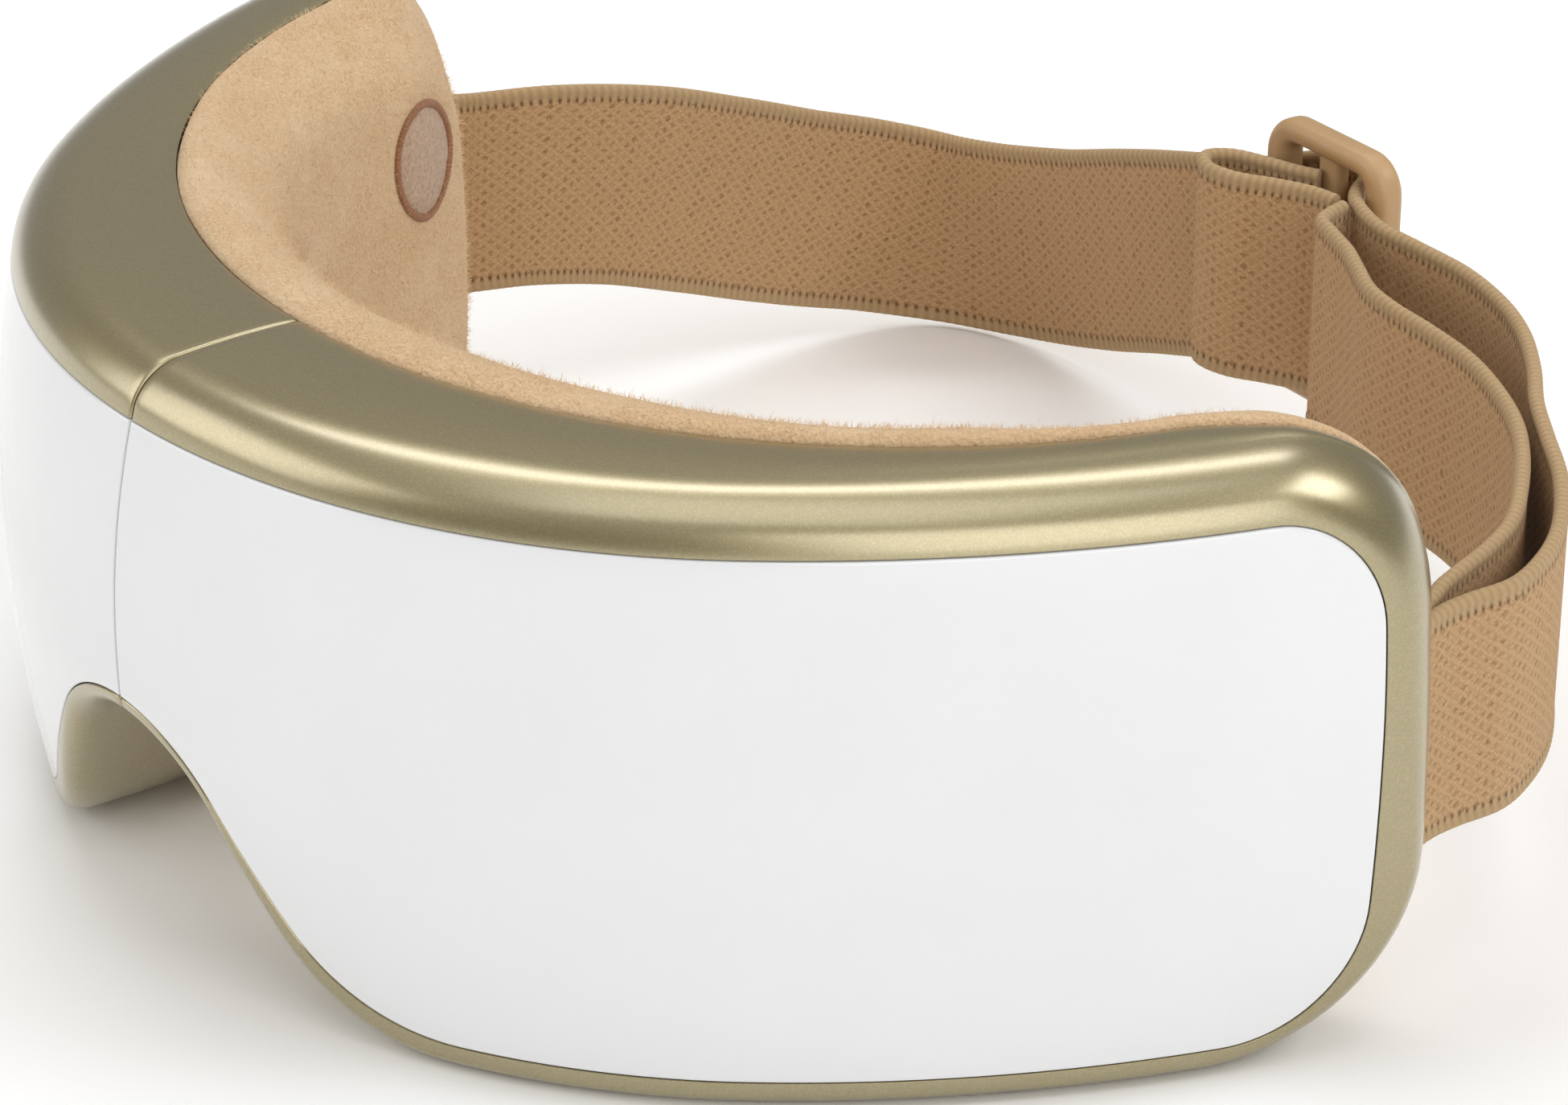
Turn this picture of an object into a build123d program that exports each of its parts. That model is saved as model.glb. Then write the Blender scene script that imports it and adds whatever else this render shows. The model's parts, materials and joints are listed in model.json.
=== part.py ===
from build123d import *
import math
import os

# Folding air-pressure eye massager mask, in millimetres.
# +X is the wearer's left, -Y is the front, +Z is up. Z = 0 is the surface that it rests on.
# The origin is the middle of the whole outline, strap included, on that surface.
# Two rigid halves meet at X = 0 and fold about an upright pin at the nose, behind the casings.

# ---- driving dimensions ----
HEIGHT = 75.5             # from the resting surface to the top of the casings
SEAM_Y = -70.05           # Y of the casings' rear top edge at the nose
REAR_R = 89.0             # plan radius of the casings' rear edge
FRONT_R = 95.6            # plan radius of the front
FRONT_DEPTH = 26.7        # rear edge to the front, at the nose
SIDE_R = 168.75           # plan radius of the sides, which is wider
SIDE_FROM = 50.0          # degrees from the nose where the side radius starts
END_DEPTH = 77.9          # rear edge at the nose to the end of the casings at the temples
CORNER_R = 20.0           # upper and lower corners at the temples
SEAM_GAP = 0.15           # each half stands this far from the middle
WALL = 2.2                # casing wall
COVER_T = 2.0             # white cover
COVER_TOP = 6.0           # gold above the cover
COVER_LOW = 2.4           # gold below it, and round the nose
COVER_END = 7.1           # gold behind it at the temple
COVER_GAP = 0.15          # clearance round the cover
COVER_SEAT = 0.1          # clearance behind the cover
NOSE_Z = 15.3             # centre of the nose notch's arc
NOSE_R = 17.0             # radius of the notch in the gold casing
NOSE_SLOPE = 60.0         # degrees that the arc turns before its straight flank
NOSE_FOOT_R = 14.0        # where the flank runs into the lower edge
PAD_R = 77.0              # plan radius of the face pads
UNDER_R = 97.0            # plan radius of the line of buttons and port under the left half
FOLD_HALF = 40.5          # half of the fold, in degrees, that the pads leave free
HINGE_Y = SEAM_Y + 0.6
STRAP_W = 30.0
STRAP_T = 2.0
STRAP_Z = 37.0            # middle height of the strap at its ends and at the slider
SAG_Z = 16.4              # middle height at the far rear corner, where it hangs lowest

# ---- worked-out values ----
REAR_C = SEAM_Y + REAR_R
FRONT_Y = SEAM_Y - FRONT_DEPTH
FRONT_C = FRONT_Y + FRONT_R
END_Y = SEAM_Y + END_DEPTH
TURN = math.radians(SIDE_FROM)
SIDE_CX = (FRONT_R - SIDE_R) * math.sin(TURN)
SIDE_CY = FRONT_C - (FRONT_R - SIDE_R) * math.cos(TURN)
OVERRUN = 2.0             # blocks run this far past the end that the side outline cuts
PLATE_IN = REAR_R + 0.4   # back plate, inner and outer radius
PLATE_OUT = PLATE_IN + 1.8
HINGE_Z = (36.0, 44.0, 52.3, 60.6, 68.9)
SLOT_X = 98.0             # middle of the strap slot at the temple
SLOT_Z = (STRAP_Z - 15.6, STRAP_Z + 15.6)
BUTTON_AT = {"power_button": 58.0, "mode_button": 51.0}
PORT_AT = 43.0
LAMP_AT = 64.0
STRAP_END_Y = END_Y + 2.1
BAND_Y = SEAM_Y + 162.0   # the band's straight stretch through the slider
SLIDER_X = 3.0

os.makedirs("parts", exist_ok=True)


def save(name, shape):
    """Write one sub-part as a STEP file."""
    if isinstance(shape, (list, tuple, ShapeList)):
        shape = Compound(children=list(shape))
    shape.label = name
    export_step(shape, f"parts/{name}.step")


def polar(centre_x, centre_y, radius, degrees):
    """A plan point at an angle from the front, seen from a centre."""
    a = math.radians(degrees)
    return (centre_x + radius * math.sin(a), centre_y - radius * math.cos(a))


def on_circle(centre_x, radius, y, centre_y):
    """The X where a circle crosses a line of constant Y."""
    return centre_x + math.sqrt(radius ** 2 - (y - centre_y) ** 2)


def angle_at(centre_x, centre_y, point):
    """The angle from the front of a point, seen from a centre, in degrees."""
    return math.degrees(math.atan2(point[0] - centre_x, centre_y - point[1]))


def plan(front=0.0, rear=0.0, end=0.0, seam=SEAM_GAP):
    """The outline of the left half seen from above, set in by the given amounts."""
    front_r = FRONT_R - front
    side_r = SIDE_R - front
    rear_r = REAR_R + rear
    y_end = END_Y - end
    a0 = math.degrees(math.asin(seam / front_r))
    p0 = polar(0, FRONT_C, front_r, a0)
    p1 = polar(0, FRONT_C, front_r, SIDE_FROM)
    p2 = (on_circle(SIDE_CX, side_r, y_end, SIDE_CY), y_end)
    p3 = (on_circle(0, rear_r, y_end, REAR_C), y_end)
    p4 = polar(0, REAR_C, rear_r, math.degrees(math.asin(seam / rear_r)))
    a2 = (SIDE_FROM + angle_at(SIDE_CX, SIDE_CY, p2)) / 2
    a3 = angle_at(0, REAR_C, p3) / 2
    edges = [
        ThreePointArc(p0, polar(0, FRONT_C, front_r, (a0 + SIDE_FROM) / 2), p1),
        ThreePointArc(p1, polar(SIDE_CX, SIDE_CY, side_r, a2), p2),
        Line(p2, p3),
        ThreePointArc(p3, polar(0, REAR_C, rear_r, a3), p4),
        Line(p4, p0),
    ]
    return make_face(edges)


def ring(inner, outer, end=0.0, seam=SEAM_GAP):
    """A curved strip about the rear centre, on the left, seen from above."""
    y_end = END_Y - end
    o0 = polar(0, REAR_C, outer, math.degrees(math.asin(seam / outer)))
    o2 = (on_circle(0, outer, y_end, REAR_C), y_end)
    i2 = (on_circle(0, inner, y_end, REAR_C), y_end)
    i0 = polar(0, REAR_C, inner, math.degrees(math.asin(seam / inner)))
    mid_o = polar(0, REAR_C, outer, angle_at(0, REAR_C, o2) / 2)
    mid_i = polar(0, REAR_C, inner, angle_at(0, REAR_C, i2) / 2)
    edges = [ThreePointArc(o0, mid_o, o2), Line(o2, i2), ThreePointArc(i2, mid_i, i0), Line(i0, o0)]
    return make_face(edges)


def front_view(edge=0.0, top=None, low=None):
    """The half's outline seen from the front, with the nose notch, as a block cut along Y."""
    top = edge if top is None else top
    low = edge if low is None else low
    radius = NOSE_R + edge
    a = math.radians(NOSE_SLOPE)
    hip = (radius * math.sin(a), NOSE_Z + radius * math.cos(a))
    mid = (radius * math.sin(a / 2), NOSE_Z + radius * math.cos(a / 2))
    foot_x = hip[0] + (hip[1] - low) / math.tan(a)
    foot_r = max(NOSE_FOOT_R - edge, 2.0)
    reach = foot_r * math.tan(a / 2)
    foot_a = (foot_x - reach * math.cos(a), low + reach * math.sin(a))
    foot_b = (foot_x + reach, low)
    centre = (foot_b[0], low + foot_r)
    foot_mid = (centre[0] - foot_r * math.sin(a / 2), centre[1] - foot_r * math.cos(a / 2))
    wide = 150.0
    edges = [
        Line((-1, HEIGHT - top), (wide, HEIGHT - top)),
        Line((wide, HEIGHT - top), (wide, low)),
        Line((wide, low), foot_b),
        ThreePointArc(foot_b, foot_mid, foot_a),
        Line(foot_a, hip),
        ThreePointArc(hip, mid, (0, NOSE_Z + radius)),
        Line((0, NOSE_Z + radius), (-1, NOSE_Z + radius)),
        Line((-1, NOSE_Z + radius), (-1, HEIGHT - top)),
    ]
    return extrude(Plane.XZ * make_face(edges), amount=150, both=True)


def side_view(end=0.0, edge=0.0, top=None, low=None):
    """The half's outline seen from the side, with rounded temple corners, as a block along X."""
    top = edge if top is None else top
    low = edge if low is None else low
    radius = CORNER_R - max(end, edge)
    back = END_Y - end
    depth = 200.0
    block = Pos(0, back - depth / 2, (low + HEIGHT - top) / 2) * Box(300, depth, HEIGHT - top - low)
    return fillet(block.edges().filter_by(Axis.X).group_by(Axis.Y)[-1], radius)


def half_block(front=0.0, rear=0.0, end=0.0, seam=SEAM_GAP, edge=0.0, top=None, low=None):
    """The left half as a solid, set in by the given amounts."""
    block = extrude(plan(front, rear, end - OVERRUN, seam), amount=HEIGHT)
    return block & front_view(edge, top, low) & side_view(end, edge, top, low)


def strip_block(inner, outer, end, seam, edge):
    """A curved strip of the left half, cut to the half's front and side outlines."""
    block = extrude(ring(inner, outer, end - OVERRUN, seam), amount=HEIGHT)
    return block & front_view(edge) & side_view(end, edge)


def at(angle, radius, z):
    """A place in the left half: local x runs along the curve, y up and z outward."""
    a = math.radians(angle)
    origin = (radius * math.sin(a), REAR_C - radius * math.cos(a), z)
    return Location(Plane(origin=origin, x_dir=(math.cos(a), math.sin(a), 0),
                          z_dir=(math.sin(a), -math.cos(a), 0)))


def upright(angle, radius, z):
    """A place in the left half with its local z straight up."""
    a = math.radians(angle)
    return Pos(radius * math.sin(a), REAR_C - radius * math.cos(a), z)


def to_right(shape):
    """The mirror image, for the right half."""
    return mirror(shape, about=Plane.YZ)


# ---- casings ----
SCREW_AT = ((24.0, 66.0), (44.0, 68.6), (72.0, 12.5), (33.5, 8.5))
BOSS_R = 2.6


def bosses():
    """Four posts from the front wall to the back plate, for the plate's screws."""
    posts = []
    for angle, z in SCREW_AT:
        posts.append(at(angle, PLATE_OUT + 15.1, z) * Cylinder(BOSS_R, 30))
    return posts


def hinge_pocket():
    """Room for the hinge's knuckles in the casing behind the seam."""
    return Pos(0, HINGE_Y, (HINGE_Z[0] + HINGE_Z[-1]) / 2) * Cylinder(3.0, HINGE_Z[-1] - HINGE_Z[0] + 6)


def cover_block(gap):
    """The space of a white cover, or the cover itself when a gap is given."""
    outer = half_block(front=0, rear=0, end=COVER_END + gap, edge=COVER_LOW + gap,
                       top=COVER_TOP + gap, low=COVER_LOW + gap)
    inner = extrude(plan(front=COVER_T + COVER_SEAT - gap * COVER_SEAT / COVER_GAP, rear=-30, seam=-1), amount=HEIGHT)
    return outer - inner


def casing():
    """The gold casing of the left half, open towards the face."""
    shell = half_block()
    brow = [e for e in shell.edges().group_by(Axis.Z)[-1] if e.center().Y < REAR_C - 40 and e.length > 60]
    front_edges = [e for e in brow if e.distance_to(Vector(0, REAR_C, HEIGHT)) > REAR_R + 2]
    shell = fillet(front_edges, 4.0)
    shell = shell - cover_block(0)
    cavity = half_block(front=COVER_T + 0.1 + WALL, rear=-6, end=WALL, seam=WALL, edge=WALL)
    posts = [post & half_block(front=3.0, rear=2.4, end=1, edge=1) for post in bosses()]
    shell = shell - cavity
    for post in posts:
        shell = shell + post
    for angle, z in SCREW_AT:
        shell = shell - at(angle, PLATE_OUT + 3.5, z) * Cylinder(0.8, 9)
    shell = shell - hinge_pocket()
    slot = Box(7.0, 12, SLOT_Z[1] - SLOT_Z[0])
    shell = shell - Pos(SLOT_X, END_Y, STRAP_Z) * slot
    window = Box(8, 6, 16)
    return shell - Pos(0, HINGE_Y - 9.5, 55) * window


def under_cuts():
    """The shallow dish, the button holes, the charging hole and the lamp hole under the left half."""
    cuts = []
    for angle in BUTTON_AT.values():
        cuts.append(upright(angle, UNDER_R, 1.5) * Cylinder(3.0, 8))
        cuts.append(upright(angle, UNDER_R, 0) * Cylinder(4.2, 1.2))
    slot = at(PORT_AT, UNDER_R, 1.5) * Box(9.4, 8, 3.6)
    cuts.append(slot)
    cuts.append(upright(LAMP_AT, UNDER_R, 1.5) * Cylinder(1.1, 8))
    return cuts


def back_plate():
    """The plate that closes the left casing towards the face."""
    plate = strip_block(PLATE_IN, PLATE_OUT, WALL + 0.2, WALL + 0.3, WALL + 0.2)
    for angle, z in SCREW_AT:
        plate = plate - at(angle, PLATE_IN + 1, z) * Cylinder(1.1, 8)
        plate = plate - at(angle, PLATE_IN - 0.1, z) * Cylinder(2.2, 2.0)
    plate = plate - hinge_pocket()
    slot = Box(10, 24, SLOT_Z[1] - SLOT_Z[0] + 2)
    return plate - Pos(SLOT_X, END_Y, STRAP_Z) * slot


def plate_screws():
    """The four screws of the left back plate."""
    screws = []
    for angle, z in SCREW_AT:
        head = at(angle, PLATE_IN + 0.5, z) * Cylinder(1.9, 0.8)
        shank = at(angle, PLATE_IN + 3.8, z) * Cylinder(0.75, 6.0)
        cross = at(angle, PLATE_IN + 0.2, z) * (Box(2.2, 0.5, 0.5) + Box(0.5, 2.2, 0.5))
        screws.append(head + shank - cross)
    return screws


# ---- hinge ----
def knuckles(spans, bore):
    """Hinge knuckles over the given height spans, with a leaf on the left back plate."""
    body = None
    for low, high in spans:
        knuckle = Pos(0, HINGE_Y, (low + high) / 2) * Cylinder(2.4, high - low)
        arm = extrude(ring(REAR_R - 1.4, REAR_R + 0.1, END_DEPTH - 2.0, 0.5), amount=high - low)
        knuckle = knuckle + Pos(0, 0, low) * arm
        body = knuckle if body is None else body + knuckle
    strip = extrude(ring(REAR_R - 1.4, REAR_R + 0.1, END_DEPTH - 2.0, 3.4), amount=HINGE_Z[4] - HINGE_Z[0])
    body = body + Pos(0, 0, HINGE_Z[0]) * strip
    return body - Pos(0, HINGE_Y, 50) * Cylinder(bore, 60)


PIN_R = 1.0
GAP_Z = 0.15


def hinge_parts():
    """The two leaves and the pin of the fold."""
    z = HINGE_Z
    left = knuckles([(z[0], z[1] - GAP_Z), (z[2] + GAP_Z, z[3] - GAP_Z)], PIN_R + 0.03)
    right = to_right(knuckles([(z[1] + GAP_Z, z[2] - GAP_Z), (z[3] + GAP_Z, z[4])], PIN_R + 0.05))
    pin = Pos(0, HINGE_Y, (z[0] + z[4]) / 2) * Cylinder(PIN_R, z[4] - z[0] + 1.0)
    pin = pin + Pos(0, HINGE_Y, z[0] - 1.0) * Cylinder(1.7, 1.0)
    return left, right, pin


# ---- face side ----
def fold_wedge(extra):
    """The space at the nose that the other half's pad needs when the mask folds."""
    reach = 40.0
    slope = math.tan(math.radians(FOLD_HALF))
    face = make_face(Polyline((-5, HINGE_Y - 3), (extra, HINGE_Y - 3), (extra, HINGE_Y),
                              (extra + reach * slope, HINGE_Y + reach), (-5, HINGE_Y + reach), close=True))
    return extrude(face, amount=HEIGHT)


def face_pad():
    """The padded lining of the left half, with a pocket for the air cell behind it."""
    pad = strip_block(PAD_R, REAR_R - 0.1, 1.5, 0.4, 1.5)
    pocket = strip_block(PAD_R + 7.6, REAR_R + 5, 14, 20, 12)
    leaf_room = extrude(ring(REAR_R - 1.8, REAR_R + 5, END_DEPTH - 3.2, -1), amount=HEIGHT - 5)
    pad = pad - pocket - leaf_room - fold_wedge(3.4)
    slot = Box(12, 16, SLOT_Z[1] - SLOT_Z[0] + 2)
    return pad - Pos(SLOT_X, END_Y, STRAP_Z) * slot


def air_cell():
    """The flat air bag over the eye."""
    cell = strip_block(PAD_R + 9.6, REAR_R - 0.4, 17, 24, 15)
    return cell


def heating_film():
    """The thin heating film in front of the air bag."""
    return strip_block(PAD_R + 8.2, PAD_R + 8.8, 17, 24, 15)


def temple_patch():
    """The oval cloth patch sewn on the pad at the temple."""
    disc = at(72.0, PAD_R - 0.35, 44.0) * extrude(Ellipse(6.5, 11.0), amount=1.0, both=True)
    shell = strip_block(PAD_R - 0.7, PAD_R - 0.05, 1.5, 0.4, 1.5)
    return disc & shell


# ---- inside the casings ----
def battery():
    return fillet((at(36.5, 97.2, 38) * Box(30, 46, 5.6)).edges(), 0.8)


def main_board():
    board = at(60, 94.0, 30) * Box(27, 38, 1.2)
    for x, y, w, h in ((-5, 6, 7, 7), (6, 8, 5, 5), (4, -9, 6, 4), (-7, -8, 4, 6)):
        board = board + at(60, 95.2, 30) * Pos(x, y, 0) * Box(w, h, 1.4)
    return board


def key_board():
    """The small board above the buttons."""
    return at(55.5, UNDER_R, 7.2) * Box(26, 1.0, 7)


def key_switches():
    """Two dome switches under the key board."""
    return [upright(angle, UNDER_R, 6.25) * Cylinder(2.2, 0.8) for angle in BUTTON_AT.values()]


def button(angle):
    """A round button that is pushed up into the casing."""
    cap = upright(angle, UNDER_R, 1.85) * Cylinder(2.85, 2.5)
    rim = upright(angle, UNDER_R, 3.5) * Cylinder(3.9, 0.8)
    stem = upright(angle, UNDER_R, 4.4) * Cylinder(1.1, 1.0)
    dish = upright(angle, UNDER_R, 0.4) * Sphere(3.2)
    return cap + rim + stem - (dish & upright(angle, UNDER_R, 0.4) * Box(4.6, 4.6, 1.0))


def charge_port():
    """The charging socket, an oval tube with its contact tongue."""
    shell = at(PORT_AT, UNDER_R, 4.0) * fillet(Box(9.0, 7.0, 3.2).edges().filter_by(Axis.Y), 1.55)
    hole = at(PORT_AT, UNDER_R, 3.2) * fillet(Box(8.3, 7.0, 2.5).edges().filter_by(Axis.Y), 1.2)
    tongue = at(PORT_AT, UNDER_R, 4.2) * Box(6.6, 5.6, 0.7)
    return shell - hole + tongue


def light_pipe():
    pipe = upright(LAMP_AT, UNDER_R, 3.2) * Cylinder(1.0, 5.2)
    return pipe + upright(LAMP_AT, UNDER_R, 4.4) * Cylinder(1.8, 1.0)


MOTOR_AT = (17.0, 98.5, 52.0)


def vibration_motor():
    angle, radius, z = MOTOR_AT
    body = upright(angle, radius, z) * Cylinder(4.0, 12)
    nose = upright(angle, radius, z + 6.5) * Cylinder(1.8, 1.0)
    shaft = upright(angle, radius, z + 9.8) * Cylinder(0.5, 6.0)
    return body + nose + shaft


def motor_cradle():
    """The rubber ring that holds the vibration motor."""
    angle, radius, z = MOTOR_AT
    ring_ = upright(angle, radius, z) * (Cylinder(5.2, 6) - Cylinder(4.05, 7))
    return ring_


def motor_weight():
    """The half-round eccentric weight on the motor's shaft."""
    angle, radius, z = MOTOR_AT
    disc = Cylinder(3.6, 4.0) & Pos(0, 2.4, 0) * Box(9, 6, 5)
    hub = Cylinder(1.2, 4.0)
    return upright(angle, radius, z + 10.4) * (disc + hub - Cylinder(0.54, 6))


def speaker():
    body = at(62, 95.2, 61.2) * Cylinder(7.6, 3.0)
    cone = at(62, 97.0, 61.2) * Cylinder(5.4, 1.0)
    return body + cone


PUMP_AT = (44.0, 97.4, 30.0)


def pump_motor():
    angle, radius, z = PUMP_AT
    can = upright(angle, radius, z - 10) * Cylinder(5.0, 18)
    shaft = upright(angle, radius, z + 0.9) * Cylinder(0.75, 5.0)
    return can + shaft


def pump_cradle():
    """The rubber sleeve that keeps the pump's noise from the casing."""
    angle, radius, z = PUMP_AT
    return upright(angle, radius, z - 11) * (Cylinder(5.9, 10) - Cylinder(5.05, 11))


def pump_eccentric():
    """The crank disc on the pump motor's shaft, with its offset stub."""
    angle, radius, z = PUMP_AT
    disc = Cylinder(3.2, 1.6) + Pos(1.4, 0, 1.3) * Cylinder(0.7, 1.2)
    return upright(angle, radius, z + 2.2) * (disc - Cylinder(0.79, 2.0))


def pump_body():
    """The diaphragm housing above the crank, with its outlet nozzle."""
    angle, radius, z = PUMP_AT
    ring_ = upright(angle, radius, z + 2.6) * (Cylinder(5.0, 7.0) - Cylinder(4.1, 7.2))
    head = upright(angle, radius, z + 10.1) * Cylinder(5.0, 8.0)
    nozzle = upright(angle, radius, z + 16.1) * (Cylinder(1.2, 4.0) - Cylinder(0.6, 5.0))
    return ring_ + head + nozzle


VALVE_AT = (26.5, 98.2, 51.0)


def valve_body():
    """The release valve: a coil housing with a bore for its plunger."""
    angle, radius, z = VALVE_AT
    block = at(angle, radius, z) * Box(8, 12, 8)
    bore = upright(angle, radius, z + 1.5) * Cylinder(1.3, 9.1)
    spout = upright(angle, radius, z - 7.4) * Cylinder(1.1, 3.0)
    return block + spout - bore


def valve_plunger():
    angle, radius, z = VALVE_AT
    rod = upright(angle, radius, z + 3.0) * Cylinder(1.24, 8.0)
    return rod + upright(angle, radius, z + 7.6) * Cylinder(2.2, 1.2)


def air_tube():
    """The soft tube from the pump to the right air bag's side, clear of every moving piece."""
    angle, radius, z = PUMP_AT
    a = upright(angle, radius, z + 16.4).position
    b = Vector(a.X, a.Y, a.Z + 9.0)
    c = upright(36.0, 98.0, b.Z + 6.0).position
    d = upright(29.5, 98.6, b.Z + 6.0).position
    path = FilletPolyline(a, b, c, d, radius=3.5)
    profile = Plane(origin=a, z_dir=(0, 0, 1)) * (Circle(2.0) - Circle(1.25))
    return sweep(profile, path=path)


def cross_tube():
    """The soft tube that carries air over the fold."""
    return Pos(0, HINGE_Y - 9.0, 59.0) * Rot(0, 90, 0) * (Cylinder(1.6, 14.0) - Cylinder(0.9, 15.0))


def ribbon_cable():
    """The flat cable over the fold."""
    return Pos(0, HINGE_Y - 9.0, 52.0) * Box(14.0, 0.4, 7.0)


# ---- strap ----
def band(points, radius):
    """A strip of strap along a plan line, at full height, to be cut to its band of heights."""
    path = FilletPolyline(*points, radius=radius)
    outline = offset(path, amount=STRAP_T / 2, side=Side.BOTH)
    return Pos(0, 0, -5) * extrude(make_face(outline.edges()), amount=HEIGHT + 5)


def height_band(points, upright_plane):
    """A block that keeps only a strap's width about a line of middle heights."""
    top = [(u, z + STRAP_W / 2) for u, z in points]
    low = [(u, z - STRAP_W / 2) for u, z in reversed(points)]
    face = make_face(Polyline(*top, *low, close=True))
    return extrude(upright_plane * face, amount=300, both=True)


STRAP_LEVEL = [(-250, STRAP_Z), (250, STRAP_Z)]
OUTER_PATH = [(99.4, STRAP_END_Y + 1.4), (97.8, SEAM_Y + 104), (88, SEAM_Y + 131),
              (66, SEAM_Y + 147), (38, SEAM_Y + 157), (19, BAND_Y), (SLIDER_X + 1.2, BAND_Y)]
INNER_PATH = [(96.2, STRAP_END_Y + 1.4), (93.4, SEAM_Y + 104), (77, SEAM_Y + 126),
              (56, SEAM_Y + 139), (34, SEAM_Y + 144), (20.6, SEAM_Y + 150.6)]
FAR_PATH = [(SLIDER_X - 1.2, BAND_Y), (-50, BAND_Y + 1.5), (-83, BAND_Y - 8), (-96.6, SEAM_Y + 122),
            (-99.4, STRAP_END_Y + 1.4)]
TAIL_PATH = [(SLIDER_X - 3.2, BAND_Y - 4.4), (-11.6, BAND_Y - 4.4), (-11.6, BAND_Y - 8.6),
             (4, BAND_Y - 10.0), (19.4, BAND_Y - 9.4)]


def strap_outer():
    """The outer layer from the left temple to the slider."""
    return band(OUTER_PATH, 34) & height_band(STRAP_LEVEL, Plane.XZ)


def strap_inner():
    """The inner layer, doubled back from the left temple."""
    return band(INNER_PATH, 20) & height_band(STRAP_LEVEL, Plane.XZ)


def strap_far():
    """The single run from the slider round to the right temple, sagging at the rear corner."""
    strip = band(FAR_PATH, 26)
    across = [(-250, SAG_Z), (-72, SAG_Z), (-18, STRAP_Z - 1), (0, STRAP_Z), (40, STRAP_Z)]
    along = [(STRAP_END_Y - 10, STRAP_Z), (STRAP_END_Y + 6, STRAP_Z), (SEAM_Y + 138, SAG_Z),
             (SEAM_Y + 250, SAG_Z)]
    rear = height_band(across, Plane.XZ) & Pos(-76 + 150, 0, 0) * Box(300, 500, 300)
    side = height_band(along, Plane.YZ) & Pos(-76 - 150, 0, 0) * Box(300, 500, 300)
    return (strip & rear) + (strip & side)


def strap_tail():
    """The end of the strap: a loop sewn round the slider's middle bar."""
    loop = band(TAIL_PATH, 2.0)
    eye = Pos(SLIDER_X, BAND_Y - 4.7, 30) * (Cylinder(3.3, 90) - Cylinder(1.6, 100))
    return (loop + eye) & height_band(STRAP_LEVEL, Plane.XZ)


def strap_stub(x_near, x_far):
    """The end of a strap run inside the casing, sewn round its anchor bar."""
    low_y = END_Y - 6.0
    legs = None
    for x in (x_near, x_far):
        leg = Pos(x, (low_y + STRAP_END_Y) / 2, STRAP_Z) * Box(STRAP_T, STRAP_END_Y - low_y, STRAP_W)
        legs = leg if legs is None else legs + leg
    wrap = Pos((x_near + x_far) / 2, low_y, STRAP_Z) * Cylinder((x_near - x_far) / 2 + 1.0, STRAP_W)
    return (wrap + legs) - Pos((x_near + x_far) / 2, low_y, STRAP_Z) * Cylinder(1.5, 60)


def anchor_bar(x):
    return Pos(x, END_Y - 6.0, STRAP_Z) * Cylinder(1.45, STRAP_W + 4)


def slider():
    """The adjusting slider: a frame with a middle bar set towards the head."""
    outer_w, outer_h, deep = 27.0, 39.0, 3.4
    frame = Pos(SLIDER_X, BAND_Y + 3.1, STRAP_Z) * Box(outer_w, deep, outer_h)
    frame = fillet(frame.edges().filter_by(Axis.Y), 5.0)
    frame = fillet(frame.edges().group_by(Axis.Y)[-1], 1.2)
    frame = frame - Pos(SLIDER_X, BAND_Y + 3.1, STRAP_Z) * Box(outer_w - 6.0, 8, outer_h - 7.4)
    for z in (STRAP_Z + 17.6, STRAP_Z - 17.6):
        frame = frame + Pos(SLIDER_X, BAND_Y - 1.0, z) * Box(8.0, 8.4, 2.8)
    return frame + Pos(SLIDER_X, BAND_Y - 4.7, STRAP_Z) * Cylinder(1.5, 35.4)


# ---- write the files ----
def build():
    left_casing = casing()
    save("right_housing", to_right(left_casing))
    for cut in under_cuts():
        left_casing = left_casing - cut
    save("left_housing", left_casing)
    both = {
        "front_cover": cover_block(COVER_GAP), "back_plate": back_plate(), "face_pad": face_pad(),
        "air_cell": air_cell(), "heating_film": heating_film(), "temple_patch": temple_patch(),
        "speaker": speaker(), "vibration_motor": vibration_motor(), "motor_cradle": motor_cradle(),
        "motor_weight": motor_weight(), "strap_stub": strap_stub(99.4, 96.2),
        "anchor_bar": anchor_bar(97.8),
    }
    for name, shape in both.items():
        save(f"left_{name}", shape)
        save(f"right_{name}", to_right(shape))
    save("left_screws", plate_screws())
    save("right_screws", [to_right(s) for s in plate_screws()])
    left_leaf, right_leaf, pin = hinge_parts()
    save("left_hinge_leaf", left_leaf)
    save("right_hinge_leaf", right_leaf)
    save("hinge_pin", pin)
    for name, angle in BUTTON_AT.items():
        save(name, button(angle))
    for make in (battery, main_board, key_board, key_switches, charge_port, light_pipe,
                 cross_tube, ribbon_cable, strap_outer, strap_inner, strap_far, strap_tail, slider):
        save(make.__name__, make())
    for make in (pump_motor, pump_cradle, pump_eccentric, pump_body, valve_body, valve_plunger, air_tube):
        save(make.__name__, to_right(make()))


build()
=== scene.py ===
"""Looks of the eye massager mask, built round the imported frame. Lengths are in metres."""
import json
import math

import bmesh
import bpy
import numpy as np
from mathutils import Euler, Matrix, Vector, noise


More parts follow.
